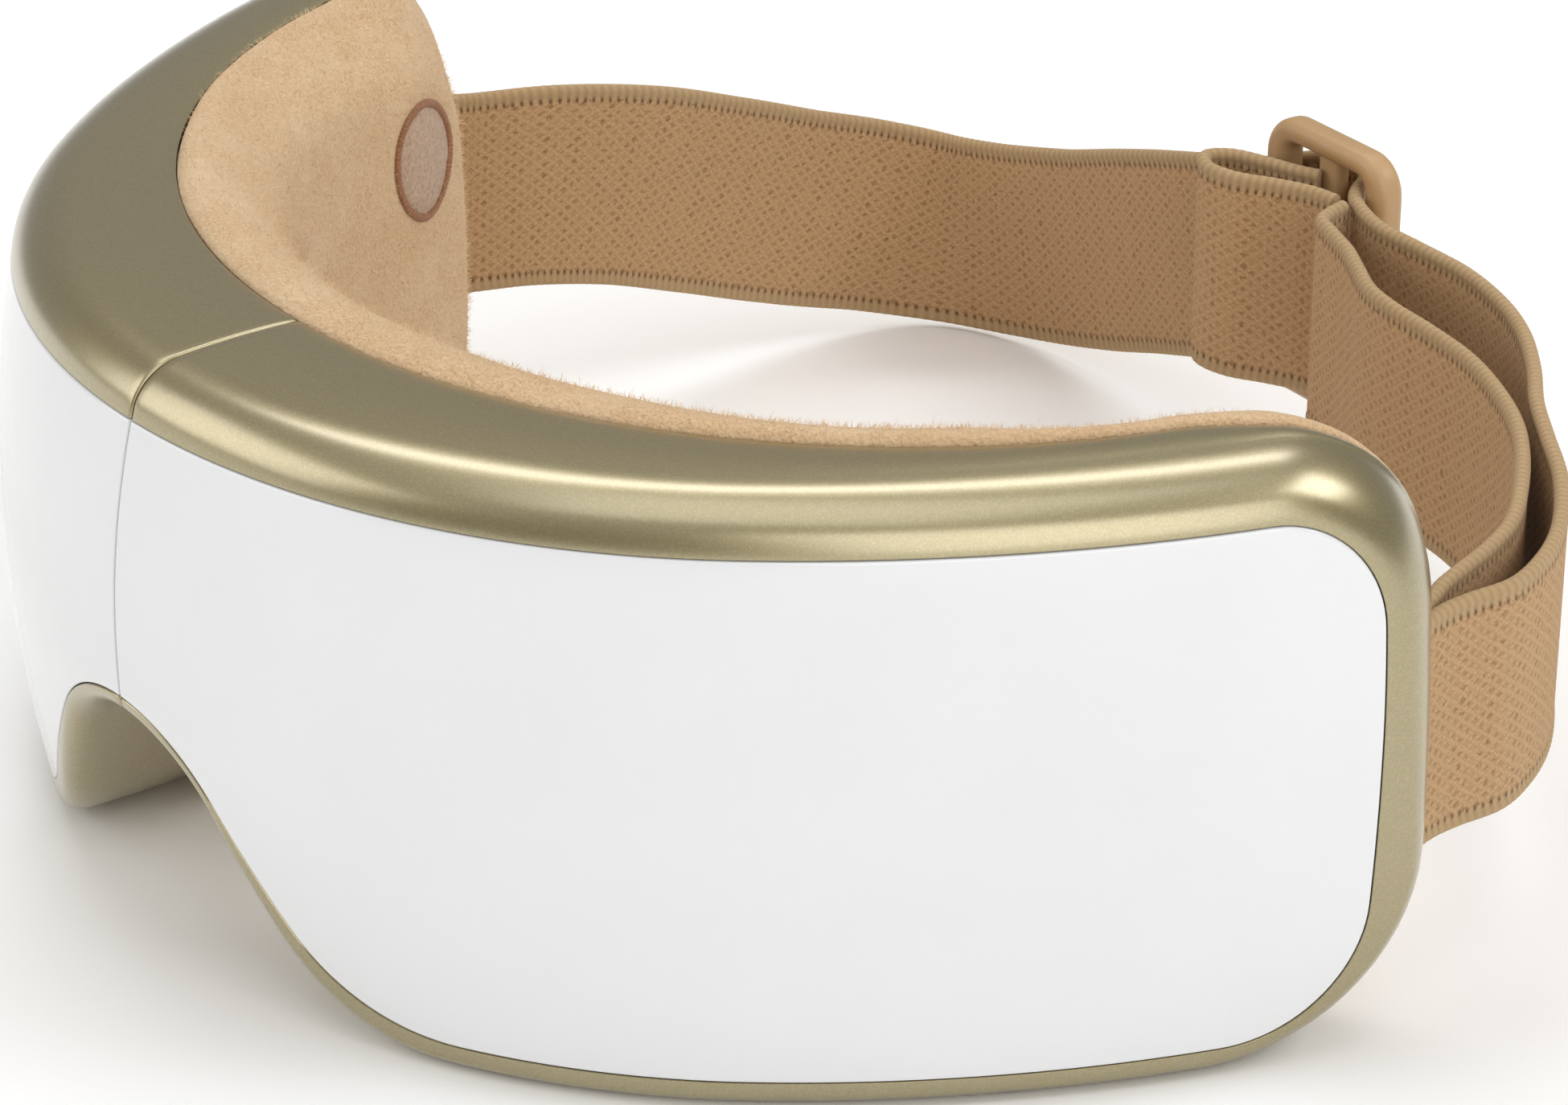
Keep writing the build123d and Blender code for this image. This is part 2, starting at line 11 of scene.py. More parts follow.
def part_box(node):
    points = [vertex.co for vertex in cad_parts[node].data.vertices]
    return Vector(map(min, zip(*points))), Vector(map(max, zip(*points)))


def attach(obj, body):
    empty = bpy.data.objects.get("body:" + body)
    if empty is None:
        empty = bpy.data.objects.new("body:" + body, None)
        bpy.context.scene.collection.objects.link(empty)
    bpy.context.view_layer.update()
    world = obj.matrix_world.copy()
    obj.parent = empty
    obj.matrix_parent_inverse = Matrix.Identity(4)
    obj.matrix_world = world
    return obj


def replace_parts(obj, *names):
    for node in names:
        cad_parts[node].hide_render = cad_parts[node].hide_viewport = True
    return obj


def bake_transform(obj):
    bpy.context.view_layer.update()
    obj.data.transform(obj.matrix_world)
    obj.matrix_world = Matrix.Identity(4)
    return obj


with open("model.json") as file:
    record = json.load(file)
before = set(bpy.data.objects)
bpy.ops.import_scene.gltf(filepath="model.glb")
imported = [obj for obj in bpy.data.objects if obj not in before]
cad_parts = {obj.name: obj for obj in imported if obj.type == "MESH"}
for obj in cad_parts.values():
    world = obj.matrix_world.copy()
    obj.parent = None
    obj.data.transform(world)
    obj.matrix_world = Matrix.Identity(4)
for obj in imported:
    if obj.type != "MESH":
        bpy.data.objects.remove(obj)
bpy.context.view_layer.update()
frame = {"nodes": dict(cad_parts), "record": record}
MM = 0.001

# ---- sizes, the same as the CAD source's ----
HEIGHT = 75.5 * MM
SEAM_Y = -70.05 * MM
REAR_R = 89.0 * MM
FRONT_R = 95.6 * MM
FRONT_DEPTH = 26.7 * MM
SIDE_R = 168.75 * MM
SIDE_FROM = math.radians(50)
END_DEPTH = 77.9 * MM
SEAM_GAP = 0.15 * MM
WALL = 2.2 * MM
COVER_T = 2.0 * MM
NOSE_Z = 15.3 * MM
STRAP_Z = 37.0 * MM
BULGE_Z = 41.75 * MM       # height where the front stands out furthest
BULGE_UP = 28.1 * MM
BULGE_DOWN = 36.5 * MM
BULGE = 3.9 * MM           # how far the nose leans back at BULGE_UP above or BULGE_DOWN below it
BULGE_SIDE = 0.8           # share of the lean that is left at the temples
FLARE = 8.5 * MM           # how far the rear edge turns outwards at the temple's end
FLARE_FROM = math.radians(70)
REAR_TURN = math.radians(87.4)
COVER_PLAY = 0.12 * MM     # gap between a cover and its window

# ---- the strap's section, in millimetres ----
HALF_W = 15.0
FLAT_REACH = 13.2          # half width of the flat web between the edge cords
WEB_HALF = 0.82            # half thickness of the web
CORD_R = 1.0
CORD_AT = HALF_W - CORD_R
STITCH_MM = 1.2            # pitch of the edge cords' stitches

REAR_C = SEAM_Y + REAR_R
FRONT_C = SEAM_Y - FRONT_DEPTH + FRONT_R
END_Y = SEAM_Y + END_DEPTH
SIDE_S = FRONT_R * SIDE_FROM
SIDE_CX = (FRONT_R - SIDE_R) * math.sin(SIDE_FROM)
SIDE_CY = FRONT_C - (FRONT_R - SIDE_R) * math.cos(SIDE_FROM)
FRONT_REACH = SIDE_S + SIDE_R * (math.acos((SIDE_CY - END_Y) / SIDE_R) - SIDE_FROM)


class Shape:
    """An outline of a half, unrolled: s runs from the nose to the temple, z is the height."""

    def __init__(self, reach, top, low, corner_top, corner_low, notch, foot, slope):
        self.reach, self.top, self.low = reach, top, low
        self.corner_top, self.corner_low = corner_top, corner_low
        self.notch, self.foot, self.slope = notch, foot, math.radians(slope)

    def nose(self, inset):
        """Where the notch's arc ends and where the foot's arc starts and ends, across the face."""
        r = self.notch + inset
        foot = self.foot - inset
        low = self.low + inset
        hip_x = r * math.sin(self.slope)
        hip_z = NOSE_Z + r * math.cos(self.slope)
        corner = hip_x + (hip_z - low) / math.tan(self.slope)
        reach = foot * math.tan(self.slope / 2)
        return r, foot, low, hip_x, hip_z, corner - reach * math.cos(self.slope), corner + reach

    def lower(self, s, inset):
        """Height of the lower edge."""
        r, foot, low, hip_x, hip_z, foot_a, foot_b = self.nose(inset)
        s = np.abs(s)
        x = FRONT_R * np.sin(np.minimum(s / FRONT_R, math.pi / 2))
        arc = NOSE_Z + np.sqrt(np.maximum(r * r - x * x, 0))
        flank = hip_z - (x - hip_x) * math.tan(self.slope)
        toe = low + foot - np.sqrt(np.maximum(foot * foot - (foot_b - x) ** 2, 0))
        z = np.where(x < hip_x, arc, np.where(x < foot_a, flank, np.where(x < foot_b, toe, low)))
        r = self.corner_low - inset
        over = np.clip(s - (self.reach - self.corner_low), 0, r)
        return z + r - np.sqrt(np.maximum(r * r - over * over, 0))

    def upper(self, s, inset):
        """Height of the upper edge."""
        r = self.corner_top - inset
        over = np.clip(np.abs(s) - (self.reach - self.corner_top), 0, r)
        return self.top - inset - r + np.sqrt(np.maximum(r * r - over * over, 0))

    def outline(self, start):
        """The outline from the seam's top round the temple to the seam at the notch."""
        r, foot, low, hip_x, hip_z, foot_a, foot_b = self.nose(0)
        side = self.reach
        ct, cl = self.corner_top, self.corner_low
        quarter = np.linspace(0, math.pi / 2, 17)
        turn = np.linspace(0, self.slope, 13)[::-1]

        def to_s(x):
            return FRONT_R * np.arcsin(x / FRONT_R)

        runs = [
            (np.append(seam_steps(start), np.linspace(start + 4 * MM, side - ct, 60)), self.top),
            (side - ct + ct * np.sin(quarter), self.top - ct + ct * np.cos(quarter)),
            (side, np.linspace(self.top - ct, self.low + cl, 20)),
            (side - cl + cl * np.cos(quarter), self.low + cl - cl * np.sin(quarter)),
            (np.linspace(side - cl, to_s(foot_b), 44), self.low),
            (to_s(foot_b - foot * np.sin(turn[::-1])), self.low + foot - foot * np.cos(turn[::-1])),
            (to_s(np.linspace(foot_a, hip_x, 10)),
             np.linspace(hip_z - (foot_a - hip_x) * math.tan(self.slope), hip_z, 10)),
            (to_s(r * np.sin(turn[:-2])), NOSE_Z + r * np.cos(turn[:-2])),
            (seam_steps(start)[::-1], NOSE_Z + np.sqrt(r * r - seam_steps(start)[::-1] ** 2)),
        ]
        points = [np.stack(np.broadcast_arrays(s, z), axis=1) for s, z in runs]
        for i in range(len(points) - 1):
            if np.allclose(points[i][-1], points[i + 1][0], atol=1e-5):
                points[i] = points[i][:-1]
        return np.concatenate(points)


def seam_steps(start):
    """Columns beside the seam, close enough together to round its edge."""
    return start + np.array([0, 0.08, 0.22, 0.45, 1.5]) * MM


CASING = Shape(FRONT_REACH, HEIGHT, 0, 20 * MM, 26 * MM, 17 * MM, 24 * MM, 56)
WINDOW = Shape(FRONT_REACH - 7.1 * MM, 69.4 * MM, 3.9 * MM, 13.5 * MM, 17 * MM, 20 * MM, 26 * MM, 53)
COVER = Shape(WINDOW.reach - COVER_PLAY, WINDOW.top - COVER_PLAY, WINDOW.low + COVER_PLAY,
              WINDOW.corner_top - COVER_PLAY, WINDOW.corner_low - COVER_PLAY,
              WINDOW.notch + COVER_PLAY, WINDOW.foot - COVER_PLAY, 53)


# ---- where a point of a half is ----
def smooth(t):
    """A soft step from 0 to 1."""
    t = np.clip(t, 0, 1)
    return t * t * (3 - 2 * t)


def front_point(s, z):
    """A point of the front at arc length s and height z, in plan."""
    off = z - BULGE_Z
    share = 1 - (1 - BULGE_SIDE) * smooth(s / (100 * MM))
    lean = BULGE * share * (off / np.where(off > 0, BULGE_UP, BULGE_DOWN)) ** 2
    a = np.where(s < SIDE_S, s / FRONT_R, SIDE_FROM + (s - SIDE_S) / SIDE_R)
    x = np.where(s < SIDE_S, (FRONT_R - lean) * np.sin(a), SIDE_CX + (SIDE_R - lean) * np.sin(a))
    y = np.where(s < SIDE_S, FRONT_C - (FRONT_R - lean) * np.cos(a), SIDE_CY - (SIDE_R - lean) * np.cos(a))
    return x, y


def rear_turn(s, x):
    """How far round the rear edge the depth line of a front point ends."""
    straight = np.arcsin(np.clip(x / REAR_R, 0, 0.999))
    even = REAR_TURN * s / FRONT_REACH
    return straight + (even - straight) * smooth((s - 30 * MM) / (90 * MM))


def rear_point(s, x, lift=0):
    """The point of the rear edge that a front point's depth line runs to."""
    turn = rear_turn(s, x)
    r = REAR_R + FLARE * smooth((turn - FLARE_FROM) / (REAR_TURN - FLARE_FROM)) - lift
    return r * np.sin(turn), REAR_C - r * np.cos(turn)


def depth_at(s, z):
    """How far the rear edge is behind a front point."""
    x, y = front_point(s, z)
    rx, ry = rear_point(s, x)
    return np.hypot(rx - x, ry - y)


def half_point(s, z, depth, side):
    """A point at a depth behind the front. side is 1 for the left half and -1 for the right one."""
    x, y = front_point(s, z)
    rx, ry = rear_point(s, x)
    far = np.hypot(rx - x, ry - y)
    share = depth / far
    return np.stack(np.broadcast_arrays(side * (x + (rx - x) * share), y + (ry - y) * share, z), axis=-1)


def lining_point(s, z, lift):
    """A point on the face side, at a height over the casings' rear edge."""
    x, y = front_point(np.abs(s), z)
    rx, ry = rear_point(np.abs(s), x, lift + 0.15 * MM)
    return np.stack(np.broadcast_arrays(np.sign(s) * rx, ry, z), axis=-1)


# ---- mesh helpers ----
def unit(vectors):
    """The vectors at length one."""
    return vectors / np.linalg.norm(vectors, axis=1)[:, None]


def add_object(name, data):
    """Puts a mesh, curve, light or camera in the scene as an object."""
    made = bpy.data.objects.new(name, data)
    bpy.context.scene.collection.objects.link(made)
    return made


def mesh_object(name, points, faces, material, smooth_shade=True):
    """An object from points and faces."""
    data = bpy.data.meshes.new(name)
    data.from_pydata([tuple(p) for p in points], [], faces)
    data.validate()
    data.update()
    data.materials.append(material)
    data.polygons.foreach_set("use_smooth", [smooth_shade] * len(data.polygons))
    return add_object(name, data)


def bmesh_object(name, bm, material):
    """An object from a bmesh, which is freed."""
    data = bpy.data.meshes.new(name)
    bm.to_mesh(data)
    bm.free()
    data.materials.append(material)
    return add_object(name, data)


def evaluated_mesh(made):
    """A new mesh of an object as its modifiers or its curve make it."""
    bpy.context.view_layer.update()
    return bpy.data.meshes.new_from_object(made.evaluated_get(bpy.context.evaluated_depsgraph_get()))


def outward(made):
    """Turns every face's front outwards."""
    bm = bmesh.new()
    bm.from_mesh(made.data)
    bmesh.ops.recalc_face_normals(bm, faces=bm.faces)
    bm.to_mesh(made.data)
    bm.free()
    return made


def quads(rows, columns, close_rows=False, close_columns=False, first=0):
    """Faces of a grid whose points run row by row."""
    faces = []
    for i in range(rows if close_rows else rows - 1):
        for j in range(columns if close_columns else columns - 1):
            a = first + i * columns + j
            b = first + i * columns + (j + 1) % columns
            c = first + (i + 1) % rows * columns + (j + 1) % columns
            d = first + (i + 1) % rows * columns + j
            faces.append((a, b, c, d))
    return faces


def end_caps(rows, columns):
    """The first and the last row of a grid as faces."""
    last = (rows - 1) * columns
    return [tuple(range(columns)), tuple(last + j for j in reversed(range(columns)))]


def loop_faces(one, two):
    """Faces between two closed loops of points, given by their indices."""
    count = len(one)
    return [(one[i], one[(i + 1) % count], two[(i + 1) % count], two[i]) for i in range(count)]


def rim_indices(n, m):
    """The border of an n by m grid, as indices in order."""
    low = [i * m for i in range(n)]
    far = [(n - 1) * m + j for j in range(1, m)]
    high = [i * m + m - 1 for i in range(n - 2, -1, -1)]
    near = list(range(m - 2, 0, -1))
    return low + far + high + near


def panel(shape, place, columns, rows, levels, start=None):
    """A closed panel: rims at the given insets and lifts, a front grid and a back grid.

    columns run from 0 (or -1, for a panel across the nose) to 1 at the temple."""
    def grid(inset, lift):
        if start is None:
            s = columns * (shape.reach - inset)
        else:
            s = start + inset + columns * (shape.reach - 2 * inset - start)
        low = shape.lower(s, inset)
        high = shape.upper(s, inset)
        z = low[:, None] + (high - low)[:, None] * rows[None, :]
        return place(np.repeat(s[:, None], len(rows), axis=1), z, lift)

    n, m = len(columns), len(rows)
    rim = rim_indices(n, m)
    back = grid(*levels[0]).reshape(-1, 3)
    front = grid(*levels[-1]).reshape(-1, 3)
    points = [back, front]
    loops = [rim]
    count = 2 * n * m
    for inset, lift in levels[1:-1]:
        points.append(grid(inset, lift).reshape(-1, 3)[rim])
        loops.append(list(range(count, count + len(rim))))
        count += len(rim)
    loops.append([n * m + i for i in rim])
    faces = quads(n, m) + [tuple(reversed(f)) for f in quads(n, m, first=n * m)]
    for one, two in zip(loops, loops[1:]):
        faces += loop_faces(one, two)
    return np.concatenate(points), faces


def spread_columns(reach, corner, step, fine):
    """Shares from 0 to 1, even at first and closer together round the corner."""
    plain = np.arange(0, 1 - corner / reach, step / reach)
    angle = np.linspace(0, math.pi / 2, fine)
    bent = 1 - corner / reach + corner / reach * np.sin(angle)
    return np.concatenate([plain, bent])


def cosine_rows(count):
    """Shares from 0 to 1, closer together at both ends."""
    return 0.5 - 0.5 * np.cos(np.linspace(0, math.pi, count))


# ---- materials ----
def fill_ramp(ramp, stops):
    """Sets the stops of a colour ramp."""
    while len(ramp.elements) < len(stops):
        ramp.elements.new(0.5)
    for element, (position, colour) in zip(ramp.elements, stops):
        element.position = position
        element.color = (*colour, 1)


class Nodes:
    """Short names for building a node tree."""

    def __init__(self, name):
        self.material = bpy.data.materials.new(name)
        self.material.use_nodes = True
        self.tree = self.material.node_tree
        self.shader = self.tree.nodes["Principled BSDF"]

    def add(self, kind, **values):
        node = self.tree.nodes.new("ShaderNode" + kind)
        for key, value in values.items():
            if key in node.inputs:
                node.inputs[key].default_value = value
            else:
                setattr(node, key, value)
        return node

    def link(self, source, target):
        self.tree.links.new(source, target)

    def feed(self, value, socket):
        """Links an output to a socket, or sets the socket to a number or a colour."""
        if hasattr(value, "is_output"):
            self.link(value, socket)
        else:
            socket.default_value = (*value, 1) if socket.type == "RGBA" else value

    def math(self, operation, a, b=None, clamp=False):
        node = self.add("Math", operation=operation, use_clamp=clamp)
        self.feed(a, node.inputs[0])
        if b is not None:
            self.feed(b, node.inputs[1])
        return node.outputs[0]

    def plus(self, a, b):
        return self.math("ADD", a, b)

    def minus(self, a, b):
        return self.math("SUBTRACT", a, b)

    def times(self, a, b, clamp=False):
        return self.math("MULTIPLY", a, b, clamp)

    def place(self):
        return self.add("TexCoord").outputs["Object"]

    def noise(self, scale, detail=3.0, rough=0.55, where=None):
        node = self.add("TexNoise", Scale=scale, Detail=detail, Roughness=rough)
        self.link(where or self.place(), node.inputs["Vector"])
        return node.outputs["Fac"]

    def cells(self, scale, feature="F1", output="Distance"):
        node = self.add("TexVoronoi", Scale=scale, feature=feature)
        self.link(self.place(), node.inputs["Vector"])
        return node.outputs[output]

    def ramp(self, factor, stops):
        node = self.add("ValToRGB")
        fill_ramp(node.color_ramp, stops)
        self.link(factor, node.inputs["Fac"])
        return node.outputs["Color"]

    def span(self, value, low=0.3, high=0.7, to_low=0, to_high=1):
        """Maps low..high to to_low..to_high."""
        node = self.add("MapRange")
        for i, number in enumerate((low, high, to_low, to_high)):
            node.inputs[i + 1].default_value = number
        self.link(value, node.inputs[0])
        return node.outputs[0]

    def mix(self, factor, a, b):
        node = self.add("Mix", data_type="RGBA")
        for i, value in ((0, factor), (6, a), (7, b)):
            self.feed(value, node.inputs[i])
        return node.outputs[2]

    def bump(self, height, strength, distance, normal=None):
        node = self.add("Bump", Strength=strength, Distance=distance)
        self.link(height, node.inputs["Height"])
        if normal is not None:
            self.link(normal, node.inputs["Normal"])
        return node.outputs["Normal"]

    def set(self, **values):
        """Sets or links the shader's inputs and returns the material."""
        for key, value in values.items():
            self.feed(value, self.shader.inputs[key.replace("_", " ")])
        return self.material


def gold_material():
    """Satin champagne paint with fine metal flake under a clear coat."""
    n = Nodes("gold_paint")
    flake = n.add("SeparateColor")
    n.link(n.cells(6500, output="Color"), flake.inputs[0])
    colour = n.ramp(flake.outputs[0], ((0.0, (0.28, 0.223, 0.078)), (0.6, (0.305, 0.245, 0.09)),
                                       (1.0, (0.36, 0.295, 0.125))))
    return n.set(Base_Color=colour, Metallic=0.92, Roughness=0.33, Coat_Weight=1.0,
                 Coat_Roughness=0.25, Coat_IOR=2.2)


def white_material():
    """High-gloss white moulding."""
    n = Nodes("white_gloss")
    cloud = n.noise(30, 2)
    colour = n.mix(n.span(cloud), (0.73, 0.735, 0.75), (0.755, 0.76, 0.775))
    rough = n.span(n.noise(900, 3), 0.35, 0.7, 0.07, 0.11)
    normal = n.bump(n.noise(70, 1), 0.02, 0.0004)
    return n.set(Base_Color=colour, Roughness=rough, Normal=normal, Coat_Weight=0.4, Coat_Roughness=0.04)


def velour_material():
    """Tan velour with short pile; its lighter and darker patches are painted sheen and painted shade of the
    pile's direction.
    """
    n = Nodes("lining_velour")
    pile = n.noise(2600, 4, 0.7)
    pile_sheen_noise = n.noise(95, 5, 0.6)
    colour = n.ramp(pile, ((0.25, (0.42, 0.26, 0.13)), (0.5, (0.68, 0.47, 0.275)),
                           (0.75, (0.80, 0.60, 0.38))))
    # painted sheen: lighter patches where the pile's direction catches the light
    painted_sheen_share = n.span(pile_sheen_noise, 0.42, 0.68, 0, 0.55)
    colour = n.mix(painted_sheen_share, colour, (0.82, 0.63, 0.42))
    # painted shade: darker patches where the pile's direction turns away from the light
    painted_shade_share = n.span(n.noise(48, 4), 0.5, 0.72, 0, 0.35)
    colour = n.mix(painted_shade_share, colour, (0.54, 0.34, 0.18))
    fine = n.bump(pile, 0.55, 0.0007)
    normal = n.bump(n.cells(1300), 0.35, 0.0006, fine)
    return n.set(Base_Color=colour, Roughness=0.95, Normal=normal, Sheen_Weight=0.45, Sheen_Roughness=0.4,
                 Sheen_Tint=(1.0, 0.86, 0.68), Specular_IOR_Level=0.15)


def fuzz_material():
    """The lining's loose fibres, paler than its ground."""
    n = Nodes("velour_fuzz")
    colour = n.mix(n.span(n.noise(700, 2)), (0.68, 0.48, 0.28), (0.82, 0.63, 0.42))
    return n.set(Base_Color=colour, Roughness=0.9, Sheen_Weight=0.3, Specular_IOR_Level=0.1)


def fleece_material():
    """Pinkish fleece of the temple patch."""
    n = Nodes("patch_fleece")
    pile = n.noise(1700, 5, 0.75)
    colour = n.ramp(pile, ((0.28, (0.38, 0.22, 0.13)), (0.5, (0.62, 0.42, 0.28)),
                           (0.72, (0.76, 0.57, 0.42))))
    normal = n.bump(pile, 0.8, 0.0009)
    return n.set(Base_Color=colour, Roughness=0.95, Normal=normal, Sheen_Weight=0.4, Specular_IOR_Level=0.1)


def thread_material(name, dark, light):
    """Sewing thread."""
    n = Nodes(name)
    strand = n.noise(3500, 4, 0.7)
    colour = n.ramp(strand, ((0.3, dark), (0.7, light)))
    return n.set(Base_Color=colour, Roughness=0.75, Normal=n.bump(strand, 0.5, 0.0003), Sheen_Weight=0.2)


def webbing_material():
    """Knitted elastic, with painted shade in its holes, between its loops and between its edge stitches. The
    map runs in millimetres: along the strap, then across it.
    """
    n = Nodes("strap_knit")
    where = n.add("TexCoord").outputs["UV"]
    split = n.add("SeparateXYZ")
    n.link(where, split.inputs[0])
    along, across = split.outputs[0], split.outputs[1]
    off_middle = n.math("ABSOLUTE", n.minus(across, HALF_W))
    shift = n.times(n.minus(n.noise(0.7, 2, where=where), 0.5), 1.35)
    skew = n.times(n.minus(n.noise(1.3, 2, where=where), 0.5), 0.95)

    def wave(value, pitch, push):
        return n.math("COSINE", n.times(n.plus(value, push), 2 * math.pi / pitch))

    fibre = n.noise(4.2, 4, 0.7, where=where)
    depth = n.times(n.noise(0.6, 2, where=where), 2.0)
    notch = n.span(n.times(wave(along, 2.2, skew), wave(across, 1.7, shift)), 0.2, 0.9, 0.0, 1.0)
    column = n.plus(n.times(wave(along, 4.4, skew), 0.25), 0.8)
    notch = n.times(n.times(notch, depth), column, clamp=True)
    loops = n.times(wave(along, 1.1, shift), wave(across, 0.85, skew))
    height = n.plus(n.times(loops, 0.16), n.times(fibre, 1.25))
    height = n.minus(n.plus(height, 0.06), n.times(notch, 0.46))
    # The ramp makes the knit's low parts darker, its holes and the dips between its loops: painted shade of
    # the relief. The fibre noise in the height is the yarn's own tone.
    body = n.ramp(height, ((0.0, (0.20, 0.095, 0.034)), (0.3, (0.37, 0.205, 0.092)),
                           (0.6, (0.50, 0.305, 0.150)), (1.0, (0.62, 0.405, 0.220))))
    slant = n.plus(along, n.times(across, 0.12))
    stripe = n.math("SINE", n.times(slant, 2 * math.pi / STITCH_MM))
    cord = n.plus(n.times(stripe, 0.14), n.times(n.noise(9.0, 3, 0.7, where=where), 0.9))
    # The cords are a little darker between their stitches, as the stitch stripe also shapes their bump:
    # painted shade.
    edge = n.ramp(cord, ((0.1, (0.36, 0.235, 0.115)), (0.45, (0.48, 0.325, 0.170)),
                         (0.8, (0.58, 0.405, 0.225))))
    # The gaps between the cords' stitches are mixed towards near black: painted shade in the grooves. The
    # same gaps also sink the bump.
    groove = n.span(n.math("ABSOLUTE", n.minus(off_middle, 12.85)), 0.1, 0.6, 1.0, 0.0)
    gap = n.times(groove, n.span(stripe, -0.9, 0.1, 1.0, 0.0))
    is_cord = n.span(off_middle, 12.95, 13.15, 0.0, 1.0)
    colour = n.mix(n.times(gap, 0.8), n.mix(is_cord, body, edge), (0.07, 0.035, 0.015))
    relief = n.plus(n.times(height, n.minus(1.0, is_cord)), n.times(cord, is_cord))
    normal = n.bump(n.minus(relief, gap), 0.6, 0.0005)
    return n.set(Base_Color=colour, Roughness=0.9, Normal=normal, Sheen_Weight=0.25, Sheen_Roughness=0.5,
                 Sheen_Tint=(1.0, 0.85, 0.65), Specular_IOR_Level=0.15)


def plastic_material(name, colour, rough, grain=900, relief=0.15, metallic=0.0):
    """Moulded plastic, metal or rubber with a fine grain and a little colour variation."""
    n = Nodes(name)
    cloud = n.noise(60, 4)
    dark = tuple(c * 0.86 for c in colour)
    light = tuple(min(1, c * 1.10) for c in colour)
    tone = n.mix(n.span(cloud), dark, light)
    fine = n.noise(grain, 3)
    spread = n.span(fine, 0.3, 0.7, rough - 0.06, rough + 0.06)
    return n.set(Base_Color=tone, Roughness=spread, Metallic=metallic, Normal=n.bump(fine, relief, 0.0002))


# ---- casings and covers ----
def casing_mesh(side):
    """The gold casing's shell: a rolled rim round the cover, running back to the face side."""
    outer = CASING.outline(SEAM_GAP)
    inner = WINDOW.outline(SEAM_GAP)
    count = len(outer)
    step = inner - outer
    width = np.linalg.norm(step, axis=1)
    # The rim's roll is wider towards the top, and widest over the brow.
    past_notch = np.where(np.arange(count) < count // 2, 1, smooth((outer[:, 0] - 18 * MM) / (12 * MM)))
    top_share = smooth((outer[:, 1] - 18 * MM) / (38 * MM)) * past_notch
    brow = smooth((outer[:, 0] - 12 * MM) / (45 * MM)) * top_share
    roll = (2.8 + 1.8 * top_share + 0.6 * brow) * MM
    back = (4.2 + 1.1 * top_share + 2.6 * brow) * MM
    roll = np.minimum(roll, width - 0.4 * MM)
    pinch = np.zeros(count)
    for i, amount in enumerate((0.34, 0.16, 0.05)):
        pinch[i] = pinch[-1 - i] = amount * MM
    columns = [casing_column(*row, side) for row in zip(outer, step, width, roll, back, pinch)]
    m = len(columns[0])
    return np.concatenate(columns), quads(count, m, close_columns=True) + end_caps(count, m)


def casing_column(at, step, width, roll, back, p, side):
    """One section of the casing, from the lip under the cover over the roll to the face side and back.

    Each pair is how far in from the outline and how deep. p moves it in where the seam's edge is rounded."""
    far = float(depth_at(at[0], at[1]))
    section = [(width + 2.5 * MM, 4.4 * MM), (width + 2.5 * MM, 2.15 * MM), (width, 2.15 * MM),
               (width, p + 0.35 * MM), (width - 0.03 * MM, p + 0.12 * MM), (width - 0.12 * MM, p + 0.02 * MM),
               (width - 0.3 * MM, p)]
    for a in np.linspace(0, math.pi / 2, 12):
        section.append((roll - (roll - p) * math.sin(a), back - (back - p) * math.cos(a)))
    for share in (0.12, 0.3, 0.5, 0.7, 0.88):
        crown = 0.22 * MM * math.sin(math.pi * share)
        section.append((p - crown, back + (far - 0.6 * MM - back) * share))
    section += [(p, far - 0.5 * MM), (p + 0.12 * MM, far - 0.14 * MM), (p + 0.5 * MM, far),
                (p + WALL, far), (p + WALL, far * 0.75), (p + WALL, 6 * MM)]
    inset, depth = np.array(section).T
    s = at[0] + step[0] * inset / width
    z = at[1] + step[1] * inset / width
    return half_point(s, z, depth, side)


def seam_wall(side):
    """The flat wall that closes a casing at the fold, with the hinge's recess."""
    z = np.linspace(NOSE_Z + 17 * MM + WALL * 0.5, HEIGHT - WALL * 0.5, 30)
    _, front = front_point(np.full_like(z, SEAM_GAP + 0.1 * MM), z)
    hinge = smooth((z - 31 * MM) / (1.5 * MM)) * smooth((74 * MM - z) / (1.5 * MM))
    rear = SEAM_Y - 0.3 * MM - 3.2 * MM * hinge
    steps, n = 9, len(z)
    points = []
    for x in (SEAM_GAP + 0.1 * MM, SEAM_GAP + 2.0 * MM):
        for share in np.linspace(0, 1, steps):
            y = front + 2.1 * MM + (rear - front - 2.1 * MM) * share
            points.append(np.stack([np.full_like(z, side * x), y, z], axis=1))
    rim = rim_indices(steps, n)
    faces = quads(steps, n) + quads(steps, n, first=steps * n)
    return np.concatenate(points), faces + loop_faces(rim, [steps * n + i for i in rim])


def cut(target, cutters):
    """Takes the cutters' space out of a closed mesh."""
    for cutter in cutters:
        modifier = target.modifiers.new("cut", "BOOLEAN")
        modifier.operation = "DIFFERENCE"
        modifier.solver = "EXACT"
        modifier.object = cutter
        data = evaluated_mesh(target)
        target.modifiers.clear()
        target.data = data
        bpy.data.objects.remove(cutter)


def rounded_block(size, radius, segments=5):
    """A box with rounded edges, as a bmesh."""
    bm = bmesh.new()
    bmesh.ops.create_cube(bm, size=1.0)
    bmesh.ops.scale(bm, vec=size, verts=bm.verts)
    bmesh.ops.bevel(bm, geom=bm.edges[:], offset=radius, segments=segments, profile=0.5, affect="EDGES")
    return bm


def cylinder_object(name, radius, z0, z1, centre, material, top=None):
    """An upright cylinder, or a cone with a radius of its own at the top."""
    bm = bmesh.new()
    bmesh.ops.create_cone(bm, cap_ends=True, segments=48, radius1=radius, radius2=top or radius,
                          depth=z1 - z0)
    bmesh.ops.translate(bm, vec=(centre[0], centre[1], (z0 + z1) / 2), verts=bm.verts)
    return bmesh_object(name, bm, material)


